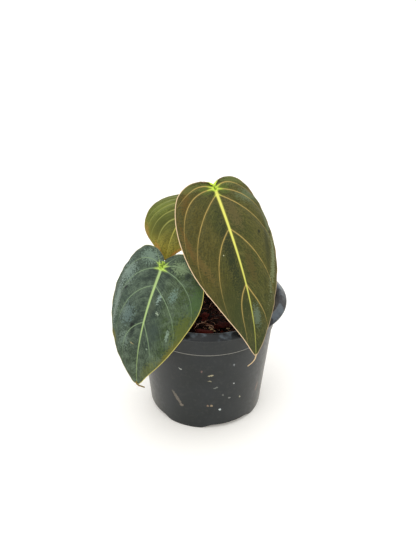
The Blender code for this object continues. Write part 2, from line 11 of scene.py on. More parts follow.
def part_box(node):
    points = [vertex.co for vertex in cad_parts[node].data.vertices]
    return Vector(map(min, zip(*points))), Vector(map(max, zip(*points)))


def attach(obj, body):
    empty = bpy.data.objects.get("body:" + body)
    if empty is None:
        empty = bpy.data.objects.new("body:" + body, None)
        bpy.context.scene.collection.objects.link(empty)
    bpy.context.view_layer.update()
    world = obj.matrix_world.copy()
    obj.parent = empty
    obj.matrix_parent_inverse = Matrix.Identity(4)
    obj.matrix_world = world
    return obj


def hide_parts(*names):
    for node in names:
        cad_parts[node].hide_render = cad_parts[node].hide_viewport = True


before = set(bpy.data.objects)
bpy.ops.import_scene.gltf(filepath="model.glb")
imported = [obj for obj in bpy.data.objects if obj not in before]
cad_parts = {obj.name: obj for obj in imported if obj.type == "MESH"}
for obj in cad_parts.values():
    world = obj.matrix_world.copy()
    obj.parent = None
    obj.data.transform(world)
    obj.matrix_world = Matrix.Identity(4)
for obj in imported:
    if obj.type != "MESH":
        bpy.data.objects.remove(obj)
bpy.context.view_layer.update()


# ---------------------------------------------------------------- nursery pot
# A growers' pot, injection moulded in recycled polypropylene with a wall of little over a millimetre. The
# wall stands on a foot ring with four arches in it, and a collar and a sloping lip stiffen its top.

MM = 0.001
POT_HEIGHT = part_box("nursery_pot")[1].z
LIP_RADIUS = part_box("nursery_pot")[1].x
COLLAR_TOP_RADIUS = LIP_RADIUS - 6.2 * MM
COLLAR_FOOT_RADIUS = COLLAR_TOP_RADIUS - 2.4 * MM
COLLAR_STEP = 0.9 * MM
COLLAR_FOOT = POT_HEIGHT - 22.0 * MM
LIP_FOOT = POT_HEIGHT - 4.0 * MM
WALL_TOP_RADIUS = COLLAR_FOOT_RADIUS - COLLAR_STEP
BASE_RADIUS = 43.5 * MM
FOOT_INSIDE = BASE_RADIUS - 5.5 * MM
FOOT_HEIGHT = 3.2 * MM
FLOOR_TOP = FOOT_HEIGHT + 1.4 * MM
WALL = 1.2 * MM
FIRST_ARCH = -65.0
POT_STEPS = 192


def smooth(value, start, end):
    """Rises softly from 0 at start to 1 at end."""
    share = np.clip((value - start) / (end - start), 0.0, 1.0)
    return share * share * (3 - 2 * share)


def rounded(corners):
    """A profile from corners of radius, height and bend, each rounded off over its bend in millimetres."""
    line = [Vector(corners[0][:2])]
    for before, corner, after in zip(corners, corners[1:], corners[2:]):
        centre = Vector(corner[:2])
        to_before = (Vector(before[:2]) - centre).normalized() * corner[2] * MM
        to_after = (Vector(after[:2]) - centre).normalized() * corner[2] * MM
        for share in (0.0, 0.25, 0.5, 0.75, 1.0):
            line.append(centre + to_before * (1 - share) ** 2 + to_after * share ** 2)
    return [*line, Vector(corners[-1][:2])]


def turned(profile, steps):
    """The bmesh of a closed solid whose profile, of radius and height, is spun round the Z axis."""
    shape = bmesh.new()
    corners = [shape.verts.new((point[0], 0.0, point[1])) for point in profile]
    edges = [shape.edges.new(pair) for pair in zip(corners, corners[1:])]
    whole_turn = 2 * math.pi
    bmesh.ops.spin(
        shape, geom=corners + edges, axis=(0, 0, 1), angle=whole_turn, steps=steps, use_merge=True
    )
    bmesh.ops.remove_doubles(shape, verts=shape.verts, dist=0.002 * MM)
    bmesh.ops.recalc_face_normals(shape, faces=shape.faces)
    return shape


def finish(name, shape, surface, replaced=(), sharp=35.0):
    """Makes the piece from its bmesh, and ties it to the frame."""
    mesh = bpy.data.meshes.new(name)
    shape.to_mesh(mesh)
    shape.free()
    mesh.shade_smooth()
    mesh.set_sharp_from_angle(angle=math.radians(sharp))
    mesh.materials.append(surface)
    piece = bpy.data.objects.new(name, mesh)
    bpy.context.scene.collection.objects.link(piece)
    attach(piece, "root")
    if replaced:
        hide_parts(*replaced)
    return piece


def linear(colour):
    """A linear RGBA colour from an sRGB hex value."""
    channels = [int(colour[i:i + 2], 16) / 255 for i in (0, 2, 4)]
    return (*[c / 12.92 if c <= 0.04045 else ((c + 0.055) / 1.055) ** 2.4 for c in channels], 1.0)


def new_surface(name, roughness, ior=1.5):
    """A material with a Principled shader, and that shader."""
    surface = bpy.data.materials.new(name)
    surface.use_nodes = True
    shader = surface.node_tree.nodes["Principled BSDF"]
    shader.inputs["Roughness"].default_value = roughness
    shader.inputs["IOR"].default_value = ior
    return surface, shader


def add_node(surface, kind, inputs, **settings):
    """Adds a shader node. inputs gives each socket a value, or the socket that feeds it."""
    made = surface.node_tree.nodes.new("ShaderNode" + kind)
    for name, value in settings.items():
        setattr(made, name, value)
    for socket, value in inputs.items():
        if isinstance(value, bpy.types.NodeSocket):
            surface.node_tree.links.new(value, made.inputs[socket])
        else:
            made.inputs[socket].default_value = value
    return made


def wall_radius(height):
    """The outside radius of the plain wall at a height below the collar."""
    return BASE_RADIUS + (WALL_TOP_RADIUS - BASE_RADIUS) * height / COLLAR_FOOT


# The two rings just above the foot keep the arches from pulling on the wall.
pot_profile = rounded((
    (0.0, 0.0, 0.0),
    (9.0 * MM, 0.0, 0.4),
    (9.3 * MM, FOOT_HEIGHT, 0.5),
    (FOOT_INSIDE, FOOT_HEIGHT, 0.5),
    (FOOT_INSIDE + 0.3 * MM, 0.0, 0.5),
    (BASE_RADIUS, 0.0, 0.8),
    (wall_radius(1.1 * FOOT_HEIGHT), 1.1 * FOOT_HEIGHT, 0.3),
    (wall_radius(1.5 * FOOT_HEIGHT), 1.5 * FOOT_HEIGHT, 0.3),
    (WALL_TOP_RADIUS, COLLAR_FOOT, 0.35),
    (COLLAR_FOOT_RADIUS, COLLAR_FOOT + COLLAR_STEP, 0.45),
    (COLLAR_TOP_RADIUS, LIP_FOOT + WALL, 0.4),
    (LIP_RADIUS - WALL, LIP_FOOT, 0.4),
    (LIP_RADIUS, LIP_FOOT, 0.4),
    (LIP_RADIUS, LIP_FOOT + WALL, 0.5),
    (COLLAR_TOP_RADIUS + 2.4 * MM, POT_HEIGHT, 0.7),
    (COLLAR_TOP_RADIUS + 1.2 * MM, POT_HEIGHT, 0.45),
    (COLLAR_TOP_RADIUS - WALL, LIP_FOOT + WALL, 1.0),
    (COLLAR_FOOT_RADIUS - WALL, COLLAR_FOOT + COLLAR_STEP, 0.3),
    (WALL_TOP_RADIUS - WALL, COLLAR_FOOT, 0.3),
    (BASE_RADIUS + 0.45 * MM - WALL, FLOOR_TOP, 1.5),
    (0.0, FLOOR_TOP, 0.0),
))
pot_shape = turned(pot_profile, POT_STEPS)
for corner in pot_shape.verts:
    if corner.co.z < FOOT_HEIGHT and corner.co.xy.length > FOOT_INSIDE - 0.2 * MM:
        azimuth = math.degrees(math.atan2(corner.co.y, corner.co.x))
        off_arch = abs((azimuth - FIRST_ARCH + 45.0) % 90.0 - 45.0)
        arch = 1 - smooth(off_arch, 16.0, 30.0)
        corner.co.z += (0.94 * FOOT_HEIGHT - corner.co.z) * arch

# Polypropylene, moulded against a lightly textured tool: dark grey with a soft gloss, with dried splashes and
# a scrape from the bench. Painted highlights and a little rubbing run along the collar step, the lip carries
# painted shade and reflections, and the inside painted shade.
polypropylene, shader = new_surface("polypropylene_moulded_grey", 0.42, ior=1.49)
shader.inputs["Specular IOR Level"].default_value = 0.3
shader.inputs["Sheen Weight"].default_value = 0.33
shader.inputs["Sheen Roughness"].default_value = 0.36
shader.inputs["Sheen Tint"].default_value = linear("E8E4D8")
place = add_node(polypropylene, "TexCoord", {}).outputs["Object"]
height = add_node(polypropylene, "SeparateXYZ", {0: place}).outputs["Z"]
cloud = add_node(polypropylene, "TexNoise", {"Vector": place, "Scale": 1 / (22 * MM), "Detail": 3.0})
mottle = add_node(polypropylene, "TexNoise", {"Vector": place, "Scale": 1 / (2.5 * MM), "Detail": 4.0})
grain = add_node(polypropylene, "TexNoise", {"Vector": place, "Scale": 1 / (0.5 * MM), "Detail": 2.0})
shade = add_node(polypropylene, "MapRange", {0: cloud.outputs[0], 1: 0.35, 2: 0.65})
colour = add_node(
    polypropylene, "Mix", {0: shade.outputs[0], 6: linear("171C1C"), 7: linear("1E2224")}, data_type="RGBA"
).outputs[2]
dust = add_node(polypropylene, "MapRange", {0: mottle.outputs[0], 1: 0.5, 2: 0.8, 4: 0.10})
colour = add_node(
    polypropylene, "Mix", {0: dust.outputs[0], 6: colour, 7: linear("6E6C64")}, data_type="RGBA"
).outputs[2]

# A pale line along the collar step is a painted highlight on its edge, and partly rubbing where pots are
# nested.
step_off = add_node(
    polypropylene, "Math", {0: height, 1: COLLAR_FOOT + 0.5 * MM}, operation="SUBTRACT"
).outputs[0]
step_off = add_node(polypropylene, "Math", {0: step_off}, operation="ABSOLUTE").outputs[0]
rub_and_highlight = add_node(
    polypropylene, "MapRange", {0: step_off, 1: 0.7 * MM, 2: 0.25 * MM, 4: 0.8},
    interpolation_type="SMOOTHSTEP",
).outputs[0]
colour = add_node(
    polypropylene, "Mix", {0: rub_and_highlight, 6: colour, 7: linear("8F8D84")}, data_type="RGBA"
).outputs[2]
# The lip is painted near black with pale blue-grey patches: painted shade and dark reflection, with painted
# highlights where it reflects the bright room.
lip_glint_spots = add_node(polypropylene, "TexNoise", {"Vector": place, "Scale": 1 / (9 * MM), "Detail": 3.0})
lip_glint = add_node(
    polypropylene, "MapRange", {0: lip_glint_spots.outputs[0], 1: 0.42, 2: 0.60, 4: 0.75},
    interpolation_type="SMOOTHSTEP",
).outputs[0]
on_lip = add_node(polypropylene, "MapRange", {0: height, 1: LIP_FOOT, 2: LIP_FOOT + 1.5 * MM}).outputs[0]
shaded = add_node(polypropylene, "Math", {0: on_lip, 1: 0.85}, operation="MULTIPLY").outputs[0]
colour = add_node(
    polypropylene, "Mix", {0: shaded, 6: colour, 7: linear("0C0F11")}, data_type="RGBA"
).outputs[2]
lip_glint = add_node(polypropylene, "Math", {0: lip_glint, 1: on_lip}, operation="MULTIPLY").outputs[0]
colour = add_node(
    polypropylene, "Mix", {0: lip_glint, 6: colour, 7: linear("59636A")}, data_type="RGBA"
).outputs[2]

# Inside, from the rim down to the medium, the wall is painted nearly black: painted shade inside the pot. The
# shade starts at the middle of the wall's thickness, which leans out with the collar and flares at the rim.
level_place = add_node(
    polypropylene, "VectorMath", {0: place, 1: (1.0, 1.0, 0.0)}, operation="MULTIPLY"
).outputs[0]
from_axis = add_node(polypropylene, "VectorMath", {0: level_place}, operation="LENGTH").outputs["Value"]
mid_wall = add_node(
    polypropylene,
    "MapRange",
    {
        0: height, 1: COLLAR_FOOT, 2: LIP_FOOT + WALL,
        3: COLLAR_FOOT_RADIUS - WALL / 2, 4: COLLAR_TOP_RADIUS - WALL / 2,
    },
).outputs[0]
flare = add_node(
    polypropylene, "MapRange", {0: height, 1: LIP_FOOT + WALL, 2: POT_HEIGHT, 4: 1.8 * MM}
).outputs[0]
mid_wall = add_node(polypropylene, "Math", {0: mid_wall, 1: flare}, operation="ADD").outputs[0]
inward = add_node(polypropylene, "Math", {0: mid_wall, 1: from_axis}, operation="SUBTRACT").outputs[0]
inside_shade = add_node(
    polypropylene, "MapRange", {0: inward, 1: -0.2 * MM, 2: 0.4 * MM, 4: 0.92},
    interpolation_type="SMOOTHSTEP",
).outputs[0]
in_collar = add_node(
    polypropylene, "MapRange", {0: height, 1: COLLAR_FOOT + 2.0 * MM, 2: COLLAR_FOOT + 4.0 * MM}
).outputs[0]
inside_shade = add_node(polypropylene, "Math", {0: inside_shade, 1: in_collar}, operation="MULTIPLY").outputs[0]
colour = add_node(
    polypropylene, "Mix", {0: inside_shade, 6: colour, 7: linear("060303")}, data_type="RGBA"
).outputs[2]

# Each mark: azimuth and height on the wall, width and length, turn in degrees, colour and strength.
pot_marks = (
    (-112.0, 57.0, 3.6, 1.0, 12.0, "B9BDB4", 0.8),
    (-93.5, 57.0, 1.6, 2.6, 0.0, "7A5C55", 0.6),
    (-85.5, 53.2, 5.0, 1.6, -8.0, "A39A7C", 0.9),
    (-86.5, 48.0, 3.4, 1.2, 10.0, "9B9478", 0.8),
    (-81.0, 41.0, 4.4, 1.4, -20.0, "7C8078", 0.6),
    (-117.0, 27.0, 3.2, 17.0, -30.0, "6E665A", 0.75),
    (-113.0, 21.0, 3.4, 2.6, -10.0, "7A7062", 0.7),
    (-65.5, 60.5, 1.9, 1.9, 0.0, "85888A", 0.8),
    (-64.0, 42.5, 1.6, 1.4, 0.0, "B5B8B4", 0.9),
    (-56.0, 26.5, 1.7, 2.6, -35.0, "A9A58C", 0.8),
    (-67.5, 29.0, 2.0, 1.8, 0.0, "8A8A86", 0.7),
    (-74.0, 33.0, 2.4, 1.8, 15.0, "74766F", 0.6),
    (-80.5, 29.5, 2.6, 4.6, -25.0, "1E2120", 0.7),
    (-84.0, 23.2, 2.2, 2.4, 0.0, "99876C", 0.85),
    (-87.5, 23.2, 1.7, 2.2, 0.0, "8D7660", 0.8),
    (-76.0, 18.5, 2.4, 1.6, 0.0, "C9D2D0", 0.95),
    (-32.0, 26.0, 3.4, 9.0, 8.0, "6E5346", 0.7),
    (-19.0, 20.0, 2.6, 4.4, 0.0, "241C1A", 0.85),
    (-29.0, 8.0, 2.0, 3.0, 0.0, "5F3F38", 0.7),
    (35.0, 44.0, 3.0, 12.0, 25.0, "6B685E", 0.6),
    (88.0, 30.0, 14.0, 2.2, 6.0, "77776F", 0.5),
    (120.0, 55.0, 2.4, 2.0, 0.0, "A9A68E", 0.7),
    (150.0, 18.0, 4.0, 3.0, 10.0, "6F655A", 0.7),
    (-160.0, 40.0, 2.0, 9.0, -15.0, "7B786E", 0.6),
)
blur = add_node(polypropylene, "TexNoise", {"Vector": place, "Scale": 1 / (1.6 * MM), "Detail": 2.0})
shift = add_node(
    polypropylene, "VectorMath", {0: blur.outputs[1], 1: (0.5, 0.5, 0.5)}, operation="SUBTRACT"
).outputs[0]
shift = add_node(
    polypropylene, "VectorMath", {0: shift, "Scale": 2.4 * MM}, operation="SCALE"
).outputs[0]
ragged = add_node(polypropylene, "VectorMath", {0: place, 1: shift}, operation="ADD").outputs[0]
for azimuth, level, width, length, turn, tint, strength in pot_marks:
    angle = math.radians(azimuth)
    reach = wall_radius(level * MM)
    on_mark = add_node(
        polypropylene,
        "Mapping",
        {
            "Vector": ragged,
            "Location": (reach * math.cos(angle), reach * math.sin(angle), level * MM),
            "Rotation": (0.0, math.radians(turn), angle + math.pi / 2),
            "Scale": (width / 2 * MM, 4 * MM, length / 2 * MM),
        },
        vector_type="TEXTURE",
    )
    far = add_node(polypropylene, "VectorMath", {0: on_mark.outputs[0]}, operation="LENGTH").outputs["Value"]
    inside = add_node(
        polypropylene, "MapRange", {0: far, 1: 1.1, 2: 0.6, 4: strength}, interpolation_type="SMOOTHSTEP"
    ).outputs[0]
    colour = add_node(
        polypropylene, "Mix", {0: inside, 6: colour, 7: linear(tint)}, data_type="RGBA"
    ).outputs[2]
polypropylene.node_tree.links.new(colour, shader.inputs["Base Color"])
gloss = add_node(polypropylene, "MapRange", {0: mottle.outputs[0], 1: 0.3, 2: 0.7, 3: 0.34, 4: 0.50})
polypropylene.node_tree.links.new(gloss.outputs[0], shader.inputs["Roughness"])
texture = add_node(
    polypropylene, "Bump", {"Strength": 0.25, "Distance": 0.06 * MM, "Height": grain.outputs[0]}
)
waver = add_node(
    polypropylene,
    "Bump",
    {"Strength": 0.5, "Distance": 0.5 * MM, "Height": cloud.outputs[0], "Normal": texture.outputs[0]},
)
polypropylene.node_tree.links.new(waver.outputs[0], shader.inputs["Normal"])

pot = finish("nursery_pot_moulded", pot_shape, polypropylene, ["nursery_pot"])

# Drain holes, four near the wall and four near the middle, as the tool's pins leave them.
drains = bmesh.new()
for quarter in range(4):
    for turn, reach, radius in ((0.0, 29.5, 4.5), (45.0, 16.5, 3.5)):
        angle = math.radians(FIRST_ARCH + 90.0 * quarter + turn)
        middle = Vector((reach * MM * math.cos(angle), reach * MM * math.sin(angle), FOOT_HEIGHT))
        bmesh.ops.create_cone(
            drains, cap_ends=True, segments=32, radius1=radius * MM, radius2=radius * MM, depth=8 * MM,
            matrix=Matrix.Translation(middle),
        )
drain_mesh = bpy.data.meshes.new("drains")
drains.to_mesh(drain_mesh)
drains.free()
drain_pins = bpy.data.objects.new("drains", drain_mesh)
bpy.context.scene.collection.objects.link(drain_pins)
boolean = pot.modifiers.new("drains", "BOOLEAN")
boolean.operation = "DIFFERENCE"
boolean.solver = "EXACT"
boolean.object = drain_pins
bpy.context.view_layer.update()
pot.data = bpy.data.meshes.new_from_object(pot.evaluated_get(bpy.context.evaluated_depsgraph_get()))
pot.modifiers.clear()
bpy.data.objects.remove(drain_pins)
pot.data.shade_smooth()
pot.data.set_sharp_from_angle(angle=math.radians(35))


# ---------------------------------------------------------------- growing medium
# Damp coco husk, filled by hand to a finger's width below the rim. It is nearly black where it is wet,
# darkened further by painted shade from the leaves, and red-brown where the husk has dried, with a crumbly
# top.

MEDIUM_LEVEL = POT_HEIGHT - 13.0 * MM
MEDIUM_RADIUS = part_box("growing_medium")[1].x
MEDIUM_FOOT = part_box("growing_medium")[0].z
MEDIUM_CROWN = 3.0 * MM
MEDIUM_LUMPS = 1.6 * MM
MEDIUM_RINGS = 96
MEDIUM_STEPS = 288


def medium_height(x, y):
    """The height of the medium's top: crowned, with the same broad lumps as the solid under it."""
    share = min(1.0, math.hypot(x, y) / MEDIUM_RADIUS)
    lump = noise.noise(Vector((x, y, 0.0)) / (14.0 * MM))
    return MEDIUM_LEVEL + MEDIUM_CROWN * (1 - share ** 2) + MEDIUM_LUMPS * lump * (1 - share ** 4)


def medium_surface(x, y):
    """The same height with the crumbs and fine grit on it."""
    crumbs = noise.noise(Vector((x, y, 0.02)) / (3.4 * MM))
    grit = noise.noise(Vector((x, y, 0.05)) / (1.3 * MM))
    return medium_height(x, y) + (0.7 * abs(crumbs) + 0.35 * grit - 0.2) * MM


medium_profile = [
    (0.0, MEDIUM_FOOT),
    (BASE_RADIUS - WALL, MEDIUM_FOOT),
    (WALL_TOP_RADIUS - WALL - 0.4 * MM, COLLAR_FOOT),
    (MEDIUM_RADIUS, MEDIUM_LEVEL - 1.0 * MM),
]
medium_profile += [
    (MEDIUM_RADIUS * (1 - ring / MEDIUM_RINGS), MEDIUM_LEVEL) for ring in range(MEDIUM_RINGS + 1)
]
medium_shape = turned(medium_profile, MEDIUM_STEPS)
for corner in medium_shape.verts:
    if corner.co.z > MEDIUM_LEVEL - 0.01 * MM:
        corner.co.z = medium_surface(corner.co.x, corner.co.y)

# Coco husk, composted: wet and matt, from near black to the red-brown of the dry pith, its base tints
# deepened as painted shade under the leaves.
husk, shader = new_surface("coco_husk_composted", 0.9)
shader.inputs["Specular IOR Level"].default_value = 0.12
place = add_node(husk, "TexCoord", {}).outputs["Object"]
patches = add_node(husk, "TexNoise", {"Vector": place, "Scale": 1 / (7 * MM), "Detail": 4.0})
flecks = add_node(husk, "TexVoronoi", {"Vector": place, "Scale": 1 / (1.5 * MM)})
dry = add_node(husk, "MapRange", {0: patches.outputs[0], 1: 0.42, 2: 0.62}).outputs[0]
colour = add_node(
    husk, "Mix", {0: dry, 6: linear("060302"), 7: linear("1B0A06")}, data_type="RGBA"
).outputs[2]
fleck = add_node(husk, "SeparateColor", {0: flecks.outputs["Color"]}).outputs[0]
fleck = add_node(husk, "MapRange", {0: fleck, 1: 0.75, 2: 1.0, 4: 0.4}).outputs[0]
colour = add_node(husk, "Mix", {0: fleck, 6: colour, 7: linear("5A2416")}, data_type="RGBA").outputs[2]
husk.node_tree.links.new(colour, shader.inputs["Base Color"])
roughness_bump = add_node(
    husk, "Bump", {"Strength": 0.8, "Distance": 0.4 * MM, "Height": flecks.outputs["Distance"]}
)
husk.node_tree.links.new(roughness_bump.outputs[0], shader.inputs["Normal"])
finish("growing_medium_filled", medium_shape, husk, ["growing_medium"], sharp=60.0)


# ---------------------------------------------------------------- loose crumbs
# Crumbs of pith and bits of husk shell, from half a millimetre to two across. They break off the husk as it
# is filled in, and lie loose on the medium.

CRUMBS = 1100


def fibrous_surface(name, dark, pale, roughness):
    """Husk whose fibres follow the piece's own grain attribute.

    Each piece has its own tone, from 0 for dark to 1 for pale. From 1.2 up it bleaches to straw.
    """
    surface, shader = new_surface(name, roughness)
    shader.inputs["Specular IOR Level"].default_value = 0.12
    along = add_node(surface, "Attribute", {}, attribute_name="grain").outputs["Vector"]
    tone = add_node(surface, "Attribute", {}, attribute_name="tone").outputs["Fac"]
    strands = add_node(surface, "TexNoise", {"Vector": along, "Scale": 1 / (0.5 * MM), "Detail": 3.0})
    streak = add_node(surface, "MapRange", {0: strands.outputs[0], 1: 0.35, 2: 0.65, 3: -0.25, 4: 0.35})
    shade = add_node(
        surface, "Math", {0: tone, 1: streak.outputs[0]}, operation="ADD", use_clamp=True
    ).outputs[0]
    colour = add_node(surface, "Mix", {0: shade, 6: linear(dark), 7: linear(pale)}, data_type="RGBA")
    bleached = add_node(surface, "MapRange", {0: tone, 1: 1.2, 2: 2.2, 4: 0.8}).outputs[0]
    colour = add_node(
        surface, "Mix", {0: bleached, 6: colour.outputs[2], 7: linear("B49A72")}, data_type="RGBA"
    )
    surface.node_tree.links.new(colour.outputs[2], shader.inputs["Base Color"])
    rough = add_node(surface, "Bump", {"Strength": 0.7, "Distance": 0.2 * MM, "Height": strands.outputs[0]})
    surface.node_tree.links.new(rough.outputs[0], shader.inputs["Normal"])
    return surface


draws = random.Random(11)
crumb_shape = bmesh.new()
crumb_grain = crumb_shape.verts.layers.float_vector.new("grain")
crumb_tone = crumb_shape.verts.layers.float.new("tone")
for _ in range(CRUMBS):
    reach = (MEDIUM_RADIUS - 1.2 * MM) * math.sqrt(draws.random())
    angle = draws.uniform(0, 2 * math.pi)
    size = MM * (0.3 + 0.8 * draws.random() ** 2.5)
    x, y = reach * math.cos(angle), reach * math.sin(angle)
    turn = Euler([draws.uniform(0, math.pi) for _ in range(3)]).to_matrix().to_4x4()
    stretch = Matrix.Diagonal((size * draws.uniform(1.0, 1.9), size, size * draws.uniform(0.5, 0.9), 1.0))
    spot = Matrix.Translation((x, y, medium_surface(x, y) + 0.35 * size))
    made = bmesh.ops.create_icosphere(crumb_shape, subdivisions=1, radius=1.0, matrix=spot @ turn @ stretch)
    tone = draws.random() ** 2
    for corner in made["verts"]:
        corner.co += Vector([draws.uniform(-0.25, 0.25) * size for _ in range(3)])
        corner[crumb_tone] = tone
        corner[crumb_grain] = Vector((corner.co.x * 0.4, corner.co.y, corner.co.z))

# A few bleached bits at the front: position, length, width and turn.
for x, y, length, width, turn in (
    (4.0, -34.6, 1.5, 1.0, 0.4), (15.5, -33.6, 1.3, 0.5, 0.1), (2.4, -33.0, 1.0, 0.6, 1.2),
    (6.0, -37.0, 0.9, 0.6, 1.5),
):
    x, y = x * MM, y * MM
    stretch = Matrix.Diagonal((length * MM, width * MM, 0.5 * MM, 1.0))
    spot = Matrix.Translation((x, y, medium_surface(x, y) + 1.6 * MM)) @ Matrix.Rotation(turn, 4, "Z")
    made = bmesh.ops.create_icosphere(crumb_shape, subdivisions=2, radius=1.0, matrix=spot @ stretch)
    for corner in made["verts"]:
        corner.co += Vector([draws.uniform(-0.12, 0.12) * MM for _ in range(3)])
        corner[crumb_tone] = 2.2
        corner[crumb_grain] = Vector((corner.co.x * 0.3, corner.co.y, corner.co.z))

# Husk pith, dried in crumbs: dull, dark red-brown with a few tan ones.
pith = fibrous_surface("coco_pith_crumbs", "0A0504", "4A1C10", 0.92)
finish("husk_crumbs", crumb_shape, pith, sharp=20.0)


# ---------------------------------------------------------------- husk chips
# Chips of coconut husk, chopped to about a centimetre, which lie on the medium. They are soft and corky,
# with fibres that run along them and frayed corners.

CHIPS = 18

# Husk, chopped and soaked: matt, dark red where it is wet and rusty where it dries.
husk_chip = fibrous_surface("coco_husk_chipped", "240604", "641E12", 0.88)
for number in range(1, CHIPS + 1):
    node = f"coco_chip_{number:02d}"
    chip = bmesh.new()
    chip.from_mesh(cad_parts[node].data)
    bmesh.ops.remove_doubles(chip, verts=chip.verts, dist=0.002 * MM)
    bmesh.ops.subdivide_edges(chip, edges=chip.edges, cuts=6, use_grid_fill=True)
    for _ in range(2):
        bmesh.ops.smooth_vert(
            chip, verts=chip.verts, factor=0.5, use_axis_x=True, use_axis_y=True, use_axis_z=True
        )
    points = np.array([corner.co for corner in chip.verts])
    centre = points.mean(axis=0)
    length_axis, width_axis, height_axis = np.linalg.svd(points - centre, full_matrices=False)[2]
    grain = chip.verts.layers.float_vector.new("grain")
    tone = chip.verts.layers.float.new("tone")
    chip.normal_update()
    own_tone = 0.05 + 0.45 * random.Random(40 + number).random()
    for corner in chip.verts:
        off = np.array(corner.co) - centre
        local = Vector((off @ length_axis * 0.18, off @ width_axis, off @ height_axis))
        strand = noise.noise(local / (0.9 * MM) + Vector((number, 0, 0)))
        broken = noise.noise(corner.co / (3.0 * MM))
        corner.co += corner.normal * (0.28 * strand + 0.5 * broken) * MM
        corner[grain] = local
        corner[tone] = own_tone
    finish(f"husk_chip_{number:02d}", chip, husk_chip, [node], sharp=50.0)


# ---------------------------------------------------------------- coir fibres
# Strands of coir that have come loose from the husk: two long ones across the chips, and short hairs all
# over the medium.


def tube(paths, resolution=2):
    """The bmesh of round strands. Each path is a list of points and a list of radii."""
    curve = bpy.data.curves.new("path", "CURVE")
    curve.dimensions = "3D"
    curve.bevel_depth = 1.0
    curve.bevel_resolution = resolution
    curve.use_fill_caps = True
    for points, radii in paths:
        spline = curve.splines.new("POLY")
        spline.points.add(len(points) - 1)
        for point, spot, radius in zip(spline.points, points, radii):
            point.co = (*spot, 1.0)
            point.radius = radius
    guide = bpy.data.objects.new("path", curve)
    shape = bmesh.new()
    shape.from_mesh(bpy.data.meshes.new_from_object(guide))
    bpy.data.objects.remove(guide)
    bmesh.ops.remove_doubles(shape, verts=shape.verts, dist=0.005 * MM)
    bmesh.ops.recalc_face_normals(shape, faces=shape.faces)
    return shape


# Coir: stiff vegetable fibre, tan when it is clean and pinkish where it has bleached.
coir, shader = new_surface("coir_strand", 0.6)
place = add_node(coir, "TexCoord", {}).outputs["Object"]
bleach = add_node(coir, "TexNoise", {"Vector": place, "Scale": 1 / (4 * MM), "Detail": 2.0})
tint = add_node(coir, "MapRange", {0: bleach.outputs[0], 1: 0.35, 2: 0.65}).outputs[0]
colour = add_node(coir, "Mix", {0: tint, 6: linear("7A4A2C"), 7: linear("C8A084")}, data_type="RGBA")
coir.node_tree.links.new(colour.outputs[2], shader.inputs["Base Color"])

for number in (1, 2):
    low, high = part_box(f"coir_fibre_{number}")
    strand = []
    for step in range(25):
        share = step / 24
        bow = math.sin(math.pi * share)
        strand.append(Vector((
            low.x + (high.x - low.x) * share,
            high.y + (low.y - high.y) * share ** (1.3 if number == 1 else 1.0) + 0.8 * MM * bow,
            (low.z + high.z) / 2 + 0.5 * MM * bow + 0.3 * MM * math.sin(9 * share),
        )))
    if number == 2:
        strand = [Vector((point.x, low.y + high.y - point.y, point.z)) for point in strand]
    radii = [0.34 * MM * (1 - 0.65 * step / 24) for step in range(25)]
    finish(f"coir_strand_{number}", tube([(strand, radii)]), coir, [f"coir_fibre_{number}"])

# Loose strands at the front: start, end and middle rise, then thickness, in millimetres.
loose = []
for (x0, y0), (x1, y1), rise, thick in (
    ((-8.4, -33.5), (-5.4, -28.6), 0.8, 0.20),
    ((-3.4, -26.2), (10.5, -34.0), 0.9, 0.42),
    ((0.0, -29.5), (4.5, -33.5), 1.2, 0.30),
    ((-1.5, -21.0), (0.5, -29.0), 1.0, 0.16),
    ((4.0, -24.0), (8.0, -31.0), 0.9, 0.18),
    ((2.0, -31.5), (13.0, -31.0), 0.7, 0.26),
):
    path = []
    for step in range(13):
        share = step / 12
        x = (x0 + (x1 - x0) * share + 0.7 * math.sin(5 * share)) * MM
        y = (y0 + (y1 - y0) * share) * MM
        path.append(Vector((x, y, medium_height(x, y) + (0.7 + rise * math.sin(math.pi * share)) * MM)))
    loose.append((path, [thick * MM * (1 - 0.4 * step / 12) for step in range(13)]))
finish("coir_strands_loose", tube(loose), coir, sharp=80.0)

HAIRS = 190

draws = random.Random(23)
hairs = []
for _ in range(HAIRS):
    reach = (MEDIUM_RADIUS - 5 * MM) * math.sqrt(draws.random())
    angle = draws.uniform(0, 2 * math.pi)
    heading = draws.uniform(0, 2 * math.pi)
    bend = draws.uniform(-1.2, 1.2)
    length = MM * draws.uniform(3.0, 9.0)
    thickness = MM * draws.uniform(0.06, 0.13)
    spot = Vector((reach * math.cos(angle), reach * math.sin(angle), 0.0))
    hair = []
    for step in range(7):
        share = step / 6
        way = heading + bend * share
        if step:
            spot = spot + Vector((math.cos(way), math.sin(way), 0.0)) * length / 6
        lift = (0.25 + 1.1 * math.sin(math.pi * share)) * MM
        hair.append(Vector((spot.x, spot.y, medium_height(spot.x, spot.y) + lift)))
    if max(point.xy.length for point in hair) < MEDIUM_RADIUS - 1 * MM:
        hairs.append((hair, [thickness] * 7))

# Coir hairs, finer and browner than the long strands.
dark_coir, shader = new_surface("coir_hair", 0.65)
place = add_node(dark_coir, "TexCoord", {}).outputs["Object"]
stain = add_node(dark_coir, "TexNoise", {"Vector": place, "Scale": 1 / (6 * MM), "Detail": 2.0})
tint = add_node(dark_coir, "MapRange", {0: stain.outputs[0], 1: 0.4, 2: 0.6}).outputs[0]
colour = add_node(dark_coir, "Mix", {0: tint, 6: linear("4A2A1C"), 7: linear("9C6A48")}, data_type="RGBA")
dark_coir.node_tree.links.new(colour.outputs[2], shader.inputs["Base Color"])
finish("coir_hairs", tube(hairs, resolution=0), dark_coir, sharp=80.0)


# ---------------------------------------------------------------- roots
# Aerial roots that have grown from the stem down into the medium. They are fleshy and as thick as a match,
# and the solids that stand for them keep their shape here.

